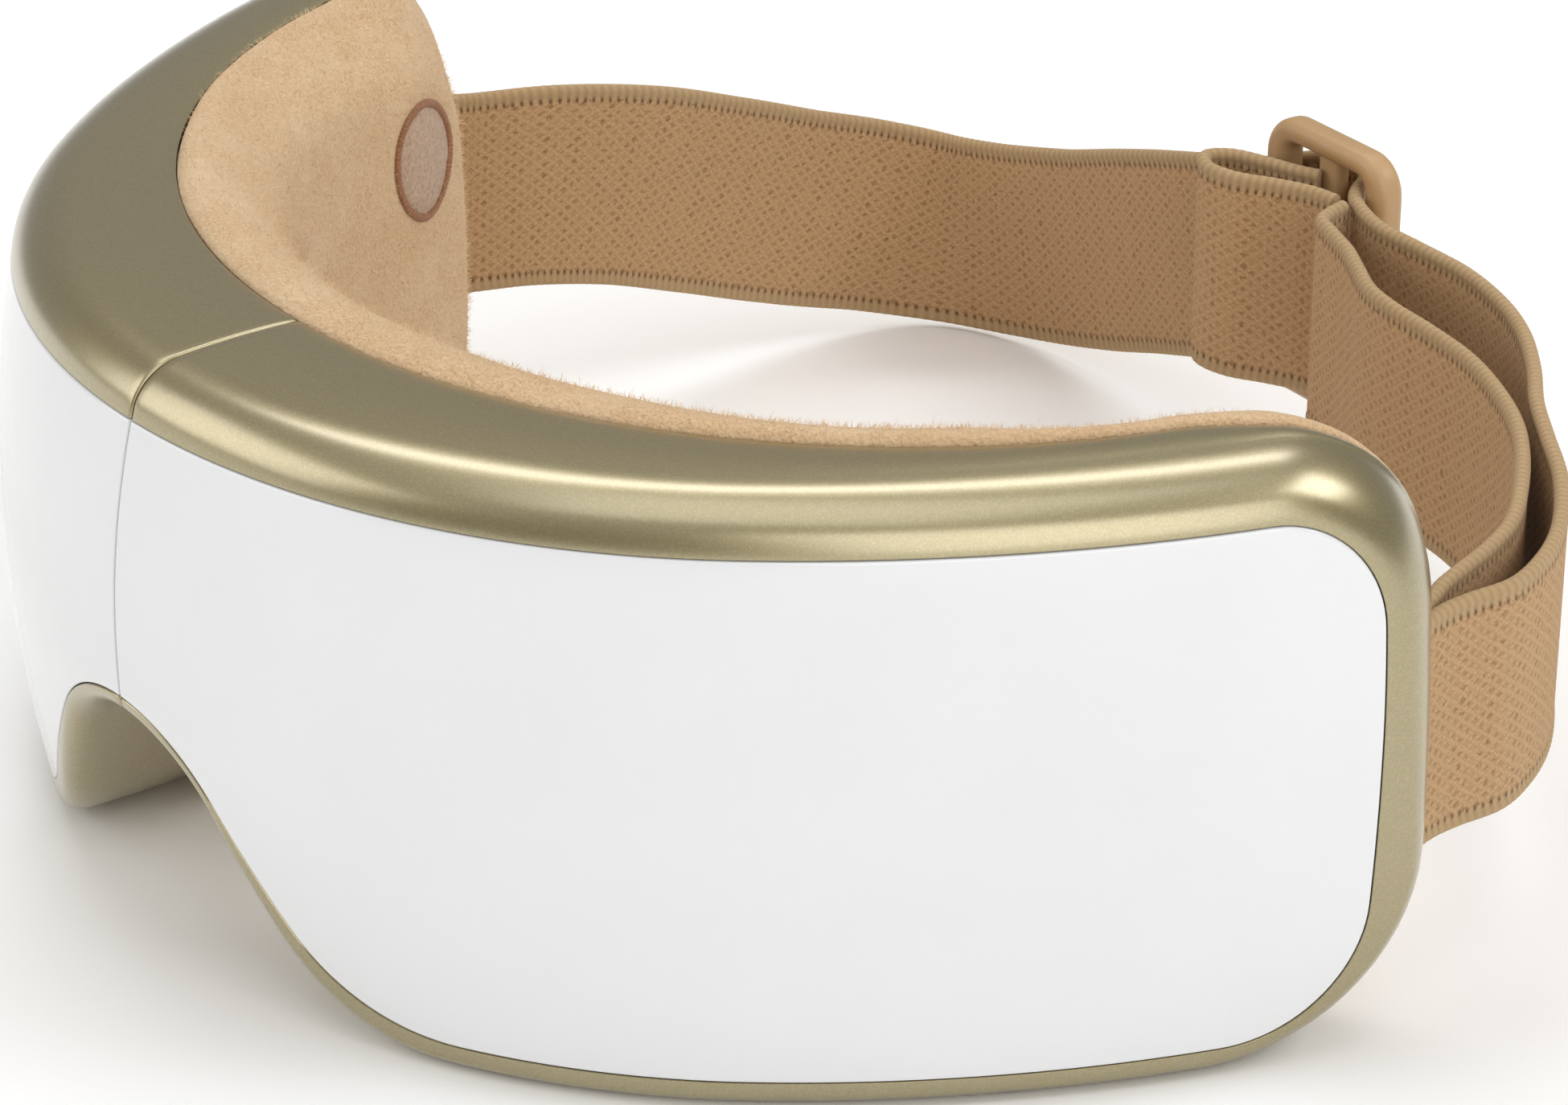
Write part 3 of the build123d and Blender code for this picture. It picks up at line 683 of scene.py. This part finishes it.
def middle(node):
    """The middle of a CAD node's box."""
    low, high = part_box(node)
    return (low + high) / 2


def slot_cutter(side, gold):
    """The strap's slot, near the rear of the temple's end."""
    cutter = bmesh_object("slot_cutter", rounded_block((5.4 * MM, 9 * MM, 32 * MM), 1.2 * MM), gold)
    front = half_point(FRONT_REACH, STRAP_Z, 0, side)
    rear = half_point(FRONT_REACH, STRAP_Z, depth_at(FRONT_REACH, STRAP_Z), side)
    cutter.location = front + (rear - front) * 0.75
    cutter.rotation_euler = (0, 0, math.atan2(rear[1] - front[1], rear[0] - front[0]))
    return cutter


def underside_cutters(gold):
    """The holes under the left half: dished for the buttons, plain for the lamp, long for the socket."""
    cutters = []
    for button in ("power_button", "mode_button"):
        at = middle(button)
        cutters.append(cylinder_object("dish", 4.2 * MM, -1 * MM, 0.6 * MM, at, gold, 3.9 * MM))
        cutters.append(cylinder_object("hole", 3.0 * MM, -1 * MM, 9 * MM, at, gold))
    cutters.append(cylinder_object("lamp_hole", 1.1 * MM, -1 * MM, 9 * MM, middle("light_pipe"), gold))
    at = middle("charge_port")
    port = bmesh_object("port_cutter", rounded_block((9.4 * MM, 3.6 * MM, 12 * MM), 1.5 * MM), gold)
    port.rotation_euler = (0, 0, math.atan2(at.x, REAR_C - at.y))
    port.location = (at.x, at.y, 1.5 * MM)
    return cutters + [port]


def build_casing(name, body, side, gold):
    """A casing with its holes, and its seam wall."""
    points, faces = casing_mesh(side)
    made = outward(mesh_object(name + "_casing", points, faces, gold))
    cut(made, [slot_cutter(side, gold)] + (underside_cutters(gold) if side > 0 else []))
    wall_points, wall_faces = seam_wall(side)
    wall = outward(mesh_object(name + "_seam_wall", wall_points, wall_faces, gold))
    for piece in (made, wall):
        piece.data.set_sharp_from_angle(angle=math.radians(32))
        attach(piece, body)
    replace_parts(made, name + "_housing")


def build_cover(name, body, side, white):
    """The gloss cover in its window, with a rounded edge."""
    columns = spread_columns(COVER.reach, COVER.corner_low, 1.3 * MM, 22)
    columns = np.concatenate([[0, 0.0012, 0.003], columns[1:]])
    rows = cosine_rows(44)
    levels = [(0, -COVER_T), (0, -0.4 * MM), (0.03 * MM, -0.16 * MM), (0.10 * MM, -0.05 * MM), (0.28 * MM, 0)]

    def place(s, z, lift):
        return half_point(s, z, -lift, side)

    points, faces = panel(COVER, place, columns, rows, levels, start=SEAM_GAP)
    made = outward(mesh_object(name + "_gloss_cover", points, faces, white))
    made.data.set_sharp_from_angle(angle=math.radians(60))
    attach(made, body)
    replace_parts(made, name + "_front_cover")


# ---- lining ----
PAD_T = 12.0 * MM
# The lining's edge: how far in from the outline and how high, in millimetres.
SHOULDER = ((0.3, 0), (-0.35, 0.7), (-0.8, 1.8), (-1.0, 3.2), (-0.7, 4.8), (0.0, 6.5), (1.1, 8.2), (2.5, 9.7),
            (4.2, 10.9), (6.2, 11.7), (8.6, 12.0))


def pad_lift(s, z, lift):
    """Thickness of the lining: fuller at the temples, hollow before the eyes."""
    share = np.abs(s) / FRONT_REACH
    shoulder = 1.25 - 0.8 * smooth((share - 0.1) / 0.4) + 0.6 * smooth((share - 0.72) / 0.2)
    full = 1 + 0.05 * smooth((share - 0.45) / 0.4)
    flare = 0.35 * FLARE * smooth((share * REAR_TURN - FLARE_FROM) / (REAR_TURN - FLARE_FROM))
    hollow = 1.6 * MM * np.exp(-((np.abs(s) - 50 * MM) / (26 * MM)) ** 2 - ((z - 30 * MM) / (16 * MM)) ** 2)
    crown = 0.9 * MM * np.sin(math.pi * np.clip(z / HEIGHT, 0, 1)) * smooth((share - 0.2) / 0.5)
    risen = smooth((lift / PAD_T - 0.2) / 0.8)
    return lift * (shoulder + (full - shoulder) * risen) + (crown - hollow + flare) * risen


def lining_place(s, z, lift):
    """A point of the lining; its temple ends and their tops slope back as they rise."""
    lift = np.broadcast_to(lift, np.shape(s))
    share = np.abs(s) / FRONT_REACH
    risen = smooth(lift / PAD_T)
    s = s - np.sign(s) * 5 * MM * smooth((share - 0.7) / 0.3) * risen
    drop = 4.5 * MM * smooth((share - 0.6) / 0.3) * risen * smooth((z - 30 * MM) / (40 * MM))
    return lining_point(s, np.maximum(z - drop, 0.3 * MM), pad_lift(s, z, lift))


def build_lining(velour):
    """The velour lining of both halves, from temple to temple."""
    half = spread_columns(FRONT_REACH, 20 * MM, 2.1 * MM, 16)
    columns = np.concatenate([-half[:0:-1], half])
    rows = cosine_rows(34)
    levels = [(i * MM, h * MM) for i, h in SHOULDER]
    points, faces = panel(CASING, lining_place, columns, rows, levels)
    made = outward(mesh_object("face_lining", points, faces, velour))
    rumple(made, 0.35 * MM, 26)
    made.data.set_sharp_from_angle(angle=math.radians(80))
    return made


def rumple(made, amount, scale, octaves=2):
    """Small unevenness of a padded surface, along its normals."""
    normals = [v.normal.copy() for v in made.data.vertices]
    for v, normal in zip(made.data.vertices, normals):
        v.co = v.co + normal * (amount * noise.fractal(v.co * scale, 1.0, 2.0, octaves))
    made.data.update()


def build_fuzz(lining, count, material):
    """Short fibres standing off the lining, as thin tapering blades."""
    rng = np.random.default_rng(7)
    data = lining.data
    data.calc_loop_triangles()
    tri = np.array([t.vertices[:] for t in data.loop_triangles])
    co = np.array([v.co[:] for v in data.vertices])
    normal = np.array([v.normal[:] for v in data.vertices])
    a, b, c = co[tri[:, 0]], co[tri[:, 1]], co[tri[:, 2]]
    area = np.linalg.norm(np.cross(b - a, c - a), axis=1)
    lift = REAR_R - np.hypot(co[tri[:, 0], 0], co[tri[:, 0], 1] - REAR_C)
    area[lift < 0.4 * MM] = 0
    pick = rng.choice(len(tri), count, p=area / area.sum())
    u, v = rng.random(count), rng.random(count)
    flip = u + v > 1
    u[flip], v[flip] = 1 - u[flip], 1 - v[flip]
    root = a[pick] + (b[pick] - a[pick]) * u[:, None] + (c[pick] - a[pick]) * v[:, None]
    up = normal[tri[pick, 0]]
    lean = rng.normal(0, 0.75, (count, 3))
    lean[:, 2] += 0.25
    way = unit(up + lean * 0.8)
    length = rng.uniform(0.45, 1.15, count) * MM
    length[rng.random(count) < 0.03] *= 1.8
    across = unit(np.cross(way, rng.normal(0, 1, (count, 3))))
    half = across * 0.034 * MM
    curl = np.cross(way, across) * (length * rng.uniform(-0.4, 0.4, count))[:, None]
    root = root - up * 0.1 * MM
    way[root[:, 2] < 2 * MM, 2] = 0.1
    bend = root + way * (length * 0.55)[:, None]
    tip = root + way * length[:, None] + curl
    points = np.stack([root - half, root + half, bend + half * 0.8, bend - half * 0.8, tip], axis=1)
    points = points.reshape(-1, 3)
    points[:, 2] = np.maximum(points[:, 2], 0.1 * MM)
    faces = []
    for k in range(0, 5 * count, 5):
        faces += [(k, k + 1, k + 2, k + 3), (k + 3, k + 2, k + 4)]
    return mesh_object("lining_fuzz", points, faces, material)


def build_patch(name, body, side, fleece, rim_thread):
    """The oval fleece patch sewn on the lining at the temple, and its stitched rim."""
    middle_s = side * FRONT_REACH * math.radians(75.3) / REAR_TURN
    middle_z = 57.6 * MM
    half_s, half_z = 11.6 * MM, 9.0 * MM
    rings, around = 12, 72
    angle = np.linspace(0, 2 * math.pi, around, endpoint=False)
    points = [lining_place(np.array(middle_s), np.array(middle_z), PAD_T + 0.75 * MM)]
    for i in range(1, rings + 1):
        share = i / rings
        s = middle_s + half_s * share * np.cos(angle)
        z = middle_z + half_z * share * np.sin(angle)
        swell = 0.95 * MM * (1 - share ** 4) - 0.2 * MM
        points.append(lining_place(s, z, PAD_T + swell))
    faces = [(0, 1 + j, 1 + (j + 1) % around) for j in range(around)]
    faces += quads(rings, around, close_columns=True, first=1)
    made = mesh_object(name + "_patch", np.concatenate([np.atleast_2d(p) for p in points]), faces, fleece)
    outward(made)
    rumple(made, 0.12 * MM, 900, 3)
    ring = stitched_ring(name + "_patch_rim", middle_s, middle_z, half_s, half_z, rim_thread)
    for piece in (made, ring):
        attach(piece, body)
    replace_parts(made, name + "_temple_patch")


def stitched_ring(name, s0, z0, half_s, half_z, material):
    """A satin-stitched rim: a rope whose thickness beads at each stitch."""
    stitches = 84
    steps = stitches * 5
    round_n = 8
    angle = np.linspace(0, 2 * math.pi, steps, endpoint=False)
    s = s0 + half_s * np.cos(angle)
    z = z0 + half_z * np.sin(angle)
    centre = lining_place(s, z, PAD_T + 0.05 * MM)
    ahead = unit(np.roll(centre, -1, axis=0) - np.roll(centre, 1, axis=0))
    out = unit(lining_place(s, z, PAD_T + 1 * MM) - centre)
    wide = np.cross(ahead, out)
    bead = 0.82 + 0.18 * np.abs(np.sin(angle * stitches / 2))
    turn = np.linspace(0, 2 * math.pi, round_n, endpoint=False)
    across = 0.62 * MM * bead[:, None] * np.cos(turn)[None, :]
    up = 0.42 * MM * bead[:, None] * np.sin(turn)[None, :]
    points = centre[:, None, :] + wide[:, None, :] * across[..., None] + out[:, None, :] * up[..., None]
    faces = quads(steps, round_n, close_rows=True, close_columns=True)
    return outward(mesh_object(name, points.reshape(-1, 3), faces, material))


# ---- strap ----
def between(t, t0, p, t1, q):
    """The point at t on the line through p at t0 and q at t1."""
    return (t1 - t) / (t1 - t0) * p + (t - t0) / (t1 - t0) * q


def smooth_path(knots, step):
    """Points at an even step along a smooth curve through the knots, and how far along each one is."""
    ends = np.concatenate([[2 * knots[0] - knots[1]], knots, [2 * knots[-1] - knots[-2]]])
    parts = []
    for i in range(len(knots) - 1):
        p0, p1, p2, p3 = ends[i:i + 4]
        pairs = ((p0, p1), (p1, p2), (p2, p3))
        d0, d1, d2 = (max(np.linalg.norm(q - p) ** 0.5, 1e-6) for p, q in pairs)
        t0, t1, t2, t3 = 0, d0, d0 + d1, d0 + d1 + d2
        t = np.linspace(t1, t2, 40, endpoint=False)[:, None]
        a1, a2, a3 = between(t, t0, p0, t1, p1), between(t, t1, p1, t2, p2), between(t, t2, p2, t3, p3)
        b1, b2 = between(t, t0, a1, t2, a2), between(t, t1, a2, t3, a3)
        parts.append(between(t, t1, b1, t2, b2))
    line = np.concatenate(parts + [knots[-1:]])
    run = np.concatenate([[0], np.cumsum(np.linalg.norm(np.diff(line, axis=0), axis=1))])
    at = np.linspace(0, run[-1], max(8, int(run[-1] / step)))
    return np.stack([np.interp(at, run, line[:, k]) for k in range(3)], axis=1), at


def band_section():
    """The strap's section, across it and through it, with a cord along each edge."""
    flat = np.linspace(-FLAT_REACH, FLAT_REACH, 11)
    turn = np.radians(np.linspace(128, -128, 11))
    cord_x = CORD_AT + CORD_R * np.cos(turn)
    cord_y = CORD_R * np.sin(turn)
    points = [(x, WEB_HALF) for x in flat]
    points += list(zip(cord_x, cord_y))
    points += [(x, -WEB_HALF) for x in flat[::-1]]
    points += [(-x, y) for x, y in zip(cord_x[::-1], cord_y[::-1])]
    return np.array(points)


def level_knots(plan):
    """Knots at the strap's height, in metres, from x and y in millimetres."""
    return np.column_stack([np.array(plan) * MM, np.full(len(plan), STRAP_Z)])


def ribbon(name, knots, material):
    """A length of elastic whose middle line runs through the knots, and how long it is."""
    line, along = smooth_path(knots, STITCH_MM * MM / 5)
    ahead = unit(np.gradient(line, axis=0))
    flat = unit(ahead * (1, 1, 0))
    side = np.stack([flat[:, 1], -flat[:, 0], np.zeros(len(flat))], axis=1)
    up = np.cross(side, ahead)
    x, y = band_section().T
    is_cord = np.abs(x) > FLAT_REACH
    bead = 1 - 0.05 * np.abs(np.cos(math.pi * along[:, None] / (STITCH_MM * MM)))
    wide = np.where(is_cord, np.sign(x) * (CORD_AT + (np.abs(x) - CORD_AT) * bead), x) * MM
    thick = np.where(is_cord, y * bead, y) * MM
    points = line[:, None] + up[:, None] * wide[..., None] + side[:, None] * thick[..., None]
    n, m = points.shape[:2]
    faces = quads(n, m, close_columns=True) + end_caps(n, m)
    made = mesh_object(name, points.reshape(-1, 3), faces, material)
    layer = made.data.uv_layers.new(name="strap_map")
    vertex = np.empty(len(made.data.loops), np.int64)
    made.data.loops.foreach_get("vertex_index", vertex)
    uv = np.stack([along[vertex // m] / MM, HALF_W + x[vertex % m]], axis=1)
    layer.data.foreach_set("uv", uv.astype(np.float32).ravel())
    outward(made)
    return made, along[-1]


# The strap's middle lines in plan, from the temple towards the slider, in millimetres.
OUTER_KNOTS = ((102.3, 6), (101.6, 9.5), (100.8, 12.8), (100.2, 16), (100.1, 20), (100.4, 26.5), (98.0, 33.5),
               (93.2, 41.3), (84, 51.0), (75, 58.0), (67.5, 63.9), (60, 71.0), (52, 77.4), (44, 81.9),
               (34, 85.3), (24, 86.4), (16.5, 87.1), (10.5, 89.4), (6.9, 91.6), (4.6, 94.4), (3.1, 97.0),
               (1.4, 98.4), (-1.6, 98.8))
INNER_KNOTS = ((99.9, 6.5), (99.4, 9.8), (98.7, 13.2), (97.3, 16.5), (95.6, 20), (94.2, 24.2), (92.2, 30.6),
               (89.0, 37.7), (83.0, 45.4), (75.4, 53.3), (69.3, 58.3), (61.6, 62.9), (53, 66.7),
               (43.8, 68.9), (36.1, 70.2), (30.1, 72.0), (24, 75.6), (19.2, 78.5), (13.8, 80.9), (9.8, 82.9),
               (8.6, 85.6), (8.0, 88.4))
TAIL_KNOTS = ((6.0, 89.0), (2.0, 88.6), (-3.0, 86.6), (-8.4, 83.9), (-13.4, 83.7), (-16.3, 86.2),
              (-14.6, 89.0), (-9.5, 90.9), (-4.4, 92.2), (-1.6, 93.4))
# The far run sags, so its knots also have the height of the middle.
FAR_KNOTS = ((-101.4, 6, 37), (-100.6, 9.5, 37), (-99.4, 13, 36.8), (-97.6, 20, 36.0), (-94.6, 32, 35.2),
             (-92.6, 46, 32.3), (-92.0, 60, 27.4), (-91.2, 74, 22.2), (-88.6, 87, 18.2), (-82.5, 96, 15.9),
             (-72, 100.6, 16.2), (-58, 101.9, 19.2), (-45, 101.1, 23.5), (-34, 100.1, 27.0),
             (-24, 99.6, 29.8), (-15.4, 99.6, 31.8), (-9.5, 99.9, 34.4), (-5.0, 100.3, 36.4),
             (-1.5, 100.5, 37), (2.0, 100.1, 37))
SPLIT = 0.82               # share of each near run where its mesh is cut in two


def cut_ribbon(made, share, name):
    """Takes the far end of a ribbon off as a piece of its own, and returns it."""
    section = len(band_section())
    count = len(made.data.vertices)
    ring = int(count / section * share) * section
    other = made.copy()
    other.data = made.data.copy()
    other.name = name
    bpy.context.scene.collection.objects.link(other)
    for piece, first, last in ((made, 0, ring + section), (other, ring, count)):
        bm = bmesh.new()
        bm.from_mesh(piece.data)
        drop = [v for v in bm.verts if not first <= v.index < last]
        bmesh.ops.delete(bm, geom=drop, context="VERTS")
        bmesh.ops.holes_fill(bm, edges=[e for e in bm.edges if e.is_boundary], sides=0)
        bm.to_mesh(piece.data)
        bm.free()
    return other


def build_straps(knit):
    """The strap's four runs, the two near ones each cut in two where they bend over the second joint."""
    outer, outer_run = ribbon("outer_strap", level_knots(OUTER_KNOTS), knit)
    inner, inner_run = ribbon("inner_strap", level_knots(INNER_KNOTS), knit)
    far, far_run = ribbon("far_strap_run", np.array(FAR_KNOTS) * MM, knit)
    tail, tail_run = ribbon("tail_loop", level_knots(TAIL_KNOTS), knit)
    outer_end = cut_ribbon(outer, SPLIT, "outer_strap_end")
    inner_end = cut_ribbon(inner, SPLIT, "inner_strap_end")
    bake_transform(outer)
    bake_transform(inner)
    for end in (outer_end, inner_end):
        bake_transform(end)
    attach(far, "far_strap")
    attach(tail, "slider_group")
    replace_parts(outer, "strap_outer")
    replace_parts(inner, "strap_inner")
    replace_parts(far, "strap_far")
    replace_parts(tail, "strap_tail")


SLIDER_X, SLIDER_Y = -1.0 * MM, 95.3 * MM
SLIDER_TURN = math.radians(-4.6)
SLIDER_DEEP = 4.4 * MM
SLIDER_EDGE = 1.6 * MM     # its rounding


def build_slider(plastic):
    """The tan slider: a rounded frame with a flat middle bar, turned a little on the strap."""
    curve = bpy.data.curves.new("slider_outline", "CURVE")
    curve.dimensions = "2D"
    curve.fill_mode = "BOTH"
    curve.extrude = SLIDER_DEEP / 2 - SLIDER_EDGE
    curve.bevel_depth = SLIDER_EDGE
    curve.bevel_resolution = 6
    curve.offset = -SLIDER_EDGE
    for wide, tall, corner in ((25.0, 39.4, 5.5), (16.6, 32.8, 1.8)):
        outline = rounded_rectangle(wide * MM, tall * MM, corner * MM)
        spline = curve.splines.new("POLY")
        spline.points.add(len(outline) - 1)
        for point, (x, y) in zip(spline.points, outline):
            point.co = (x, y, 0, 1)
        spline.use_cyclic_u = True
    holder = add_object("slider_outline", curve)
    data = evaluated_mesh(holder)
    bpy.data.objects.remove(holder)
    data.transform(Euler((math.pi / 2, 0, 0)).to_matrix().to_4x4())
    bm = rounded_block((4.4 * MM, 2.4 * MM, 34.4 * MM), 0.9 * MM, 4)
    bm.from_mesh(data)
    bm.to_mesh(data)
    bm.free()
    data.transform(Euler((0, 0, SLIDER_TURN)).to_matrix().to_4x4())
    data.materials.clear()
    data.materials.append(plastic)
    data.polygons.foreach_set("use_smooth", [True] * len(data.polygons))
    made = add_object("strap_slider", data)
    made.location = (SLIDER_X, SLIDER_Y, STRAP_Z)
    data.set_sharp_from_angle(angle=math.radians(35))
    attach(made, "slider_group")
    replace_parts(made, "slider")


def rounded_rectangle(wide, tall, corner, steps=10):
    """The outline of a rectangle with round corners, about the origin."""
    points = []
    for quarter, (sx, sy) in enumerate(((1, 1), (-1, 1), (-1, -1), (1, -1))):
        for i in range(steps + 1):
            a = math.pi / 2 * (quarter + i / steps)
            points.append((sx * (wide / 2 - corner) + corner * math.cos(a),
                           sy * (tall / 2 - corner) + corner * math.sin(a)))
    return points


# ---- tube and cable over the fold ----
def strip_over_fold(name, material, half_wide, half_thick, height, grooves):
    """A soft run across the fold between the halves, a little bowed, with grooves along it if asked."""
    low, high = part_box(name)
    steps, around = 41, 24
    x = np.linspace(low.x, high.x, steps)
    turn = np.linspace(0, 2 * math.pi, around, endpoint=False)
    sag = 0.35 * MM * np.cos(math.pi * x / (high.x - low.x)) ** 2
    ripple = 1 + grooves * np.cos(9 * turn)
    y = (low.y + high.y) / 2 - sag[:, None] + half_thick * np.sin(turn)[None, :] * ripple
    z = height + half_wide * np.cos(turn)[None, :] * ripple
    points = np.stack(np.broadcast_arrays(x[:, None], y, z), axis=-1).reshape(-1, 3)
    faces = quads(steps, around, close_columns=True) + end_caps(steps, around)
    made = outward(mesh_object(name + "_run", points, faces, material))
    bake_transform(made)
    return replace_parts(made, name)


def build_fold_runs():
    """The air tube and the flat cable over the fold."""
    silicone = plastic_material("soft_silicone", (0.62, 0.62, 0.58), 0.45)
    flat_cable = plastic_material("cable_sheath", (0.70, 0.70, 0.66), 0.5)
    tube = middle("cross_tube")
    cable = middle("ribbon_cable")
    strip_over_fold("cross_tube", silicone, 1.6 * MM, 1.6 * MM, tube.z, 0.0)
    strip_over_fold("ribbon_cable", flat_cable, 3.5 * MM, 0.4 * MM, cable.z, 0.04)


# ---- carried-over CAD nodes ----
def dress_nodes():
    """Gives every CAD node that still shows a procedural material."""
    plain = {
        "inner_plastic": ("inner_plastic", (0.60, 0.60, 0.58), 0.5),
        "steel": ("plain_steel", (0.55, 0.55, 0.57), 0.32, 900, 0.15, 0.95),
        "chromed": ("chromed_steel", (0.72, 0.72, 0.74), 0.18, 900, 0.15, 1.0),
        "cell_film": ("cell_film", (0.10, 0.105, 0.12), 0.3),
        "pouch_foil": ("pouch_foil", (0.60, 0.61, 0.63), 0.34, 260, 0.5, 0.9),
        "rubber_dark": ("dark_rubber", (0.035, 0.035, 0.038), 0.7),
        "tube_silicone": ("silicone_tube", (0.62, 0.62, 0.58), 0.45),
        "weight_brass": ("heavy_metal", (0.50, 0.40, 0.20), 0.36, 900, 0.15, 0.9),
        "button_grey": ("button_champagne", (0.50, 0.46, 0.34), 0.42, 1500, 0.15, 0.35),
        "lamp_clear": ("lamp_pipe", (0.80, 0.84, 0.86), 0.2),
        "strap_elastic": ("strap_ends", (0.42, 0.27, 0.15), 0.9, 2200, 0.8),
    }
    slots = {slot: plastic_material(*values) for slot, values in plain.items()}
    slots["heater_film"] = film_material()
    slots["board_green"] = board_material()
    chosen = {row["node"]: row["material_slot"] for row in frame["record"]["subparts"]}
    for name, node in frame["nodes"].items():
        if node.hide_render:
            continue
        material = slots.get(chosen.get(name), slots["inner_plastic"])
        node.data.materials.clear()
        node.data.materials.append(material)


def film_material():
    """Amber heating film with its printed track."""
    n = Nodes("heating_film")
    split = n.add("SeparateXYZ")
    n.link(n.place(), split.inputs[0])
    track = n.math("SINE", n.times(split.outputs[2], 1400.0))
    colour = n.mix(n.span(track, 0.2, 0.5, 0, 1), (0.42, 0.20, 0.04), (0.16, 0.13, 0.10))
    return n.set(Base_Color=colour, Roughness=n.span(n.noise(400), 0.3, 0.7, 0.2, 0.32))


def board_material():
    """Green solder mask with paler traces."""
    n = Nodes("circuit_board")
    lines = n.cells(420, feature="DISTANCE_TO_EDGE")
    colour = n.mix(n.span(lines, 0.02, 0.06, 1, 0), (0.012, 0.09, 0.035), (0.05, 0.22, 0.09))
    return n.set(Base_Color=colour, Roughness=n.span(n.noise(500), 0.3, 0.7, 0.28, 0.42))


# ---- floor, light and camera ----
def build_stage():
    """A pale floor."""
    n = Nodes("pale_floor")
    colour = n.mix(n.span(n.noise(3, 2)), (0.95, 0.95, 0.95), (0.97, 0.97, 0.97))
    material = n.set(Base_Color=colour, Roughness=0.9, Specular_IOR_Level=0.1)
    reach = 6.0
    points = [(-reach, -reach, 0), (reach, -reach, 0), (reach, reach, 0), (-reach, reach, 0)]
    floor = mesh_object("studio_floor", points, [(0, 1, 2, 3)], material, False)


def area_light(name, place, aim, size, power):
    """A white rectangular light, turned to its aim."""
    data = bpy.data.lights.new(name, "AREA")
    data.shape = "RECTANGLE"
    data.size, data.size_y = size
    data.energy = power
    made = add_object(name, data)
    made.location = place
    made.rotation_euler = (Vector(aim) - Vector(place)).to_track_quat("-Z", "Y").to_euler()


def build_light():
    """A grey studio, paler overhead, and five soft lights."""
    world = bpy.data.worlds.new("studio")
    bpy.context.scene.world = world
    world.use_nodes = True
    tree = world.node_tree
    place = tree.nodes.new("ShaderNodeTexCoord")
    split = tree.nodes.new("ShaderNodeSeparateXYZ")
    ramp = tree.nodes.new("ShaderNodeValToRGB")
    tree.links.new(place.outputs["Generated"], split.inputs[0])
    tree.links.new(split.outputs[2], ramp.inputs["Fac"])
    tree.links.new(ramp.outputs["Color"], tree.nodes["Background"].inputs["Color"])
    fill_ramp(ramp.color_ramp, ((0.0, (0.32, 0.32, 0.32)), (0.15, (0.33, 0.32, 0.30)),
                                (0.45, (0.36, 0.34, 0.30)), (0.9, (0.55, 0.55, 0.55))))
    tree.nodes["Background"].inputs["Strength"].default_value = 1.0
    aim = (0, 0, 0.04)
    area_light("back_softbox", (-0.74, 0.54, 1.60), aim, (1.5, 0.34), 7.5)
    area_light("left_softbox", (-0.93, -1.27, 0.75), aim, (1.4, 1.1), 9)
    area_light("right_softbox", (1.40, -0.38, 0.66), aim, (1.2, 1.3), 10)
    area_light("corner_softbox", (0.9, 1.0, 1.3), aim, (0.9, 0.7), 8)
    area_light("top_softbox", (0.2, -0.3, 2.3), (0, 0, 0), (1.6, 1.6), 9)


def build_camera():
    """The camera of the photo."""
    data = bpy.data.cameras.new("photo_view")
    data.sensor_width = 36
    data.lens = 120
    data.clip_start, data.clip_end = 0.05, 50
    camera = add_object("photo_view", data)
    camera.location = (0.4638, -0.3650, 0.3175)
    camera.rotation_euler = (math.radians(63.57), 0, math.radians(51.75))
    bpy.context.scene.camera = camera


# ---- the mask ----
def build():
    """Builds the stage and the mask."""
    build_camera()
    build_stage()
    build_light()
    gold, white, velour = gold_material(), white_material(), velour_material()
    fleece = fleece_material()
    rim_thread = thread_material("rim_thread", (0.16, 0.06, 0.02), (0.42, 0.19, 0.08))
    for name, body, side in (("left", "left_half", 1), ("right", "right_half", -1)):
        build_casing(name, body, side, gold)
        build_cover(name, body, side, white)
        build_patch(name, body, side, fleece, rim_thread)
    lining = build_lining(velour)
    fuzz = build_fuzz(lining, 60000, fuzz_material())
    for piece in (lining, fuzz):
        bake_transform(piece)
    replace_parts(lining, "left_face_pad", "right_face_pad")
    build_straps(webbing_material())
    build_fold_runs()
    build_slider(plastic_material("slider_plastic", (0.46, 0.29, 0.14), 0.42, grain=1800, relief=0.12))
    dress_nodes()


build()
bpy.context.scene.view_settings.view_transform = "Standard"
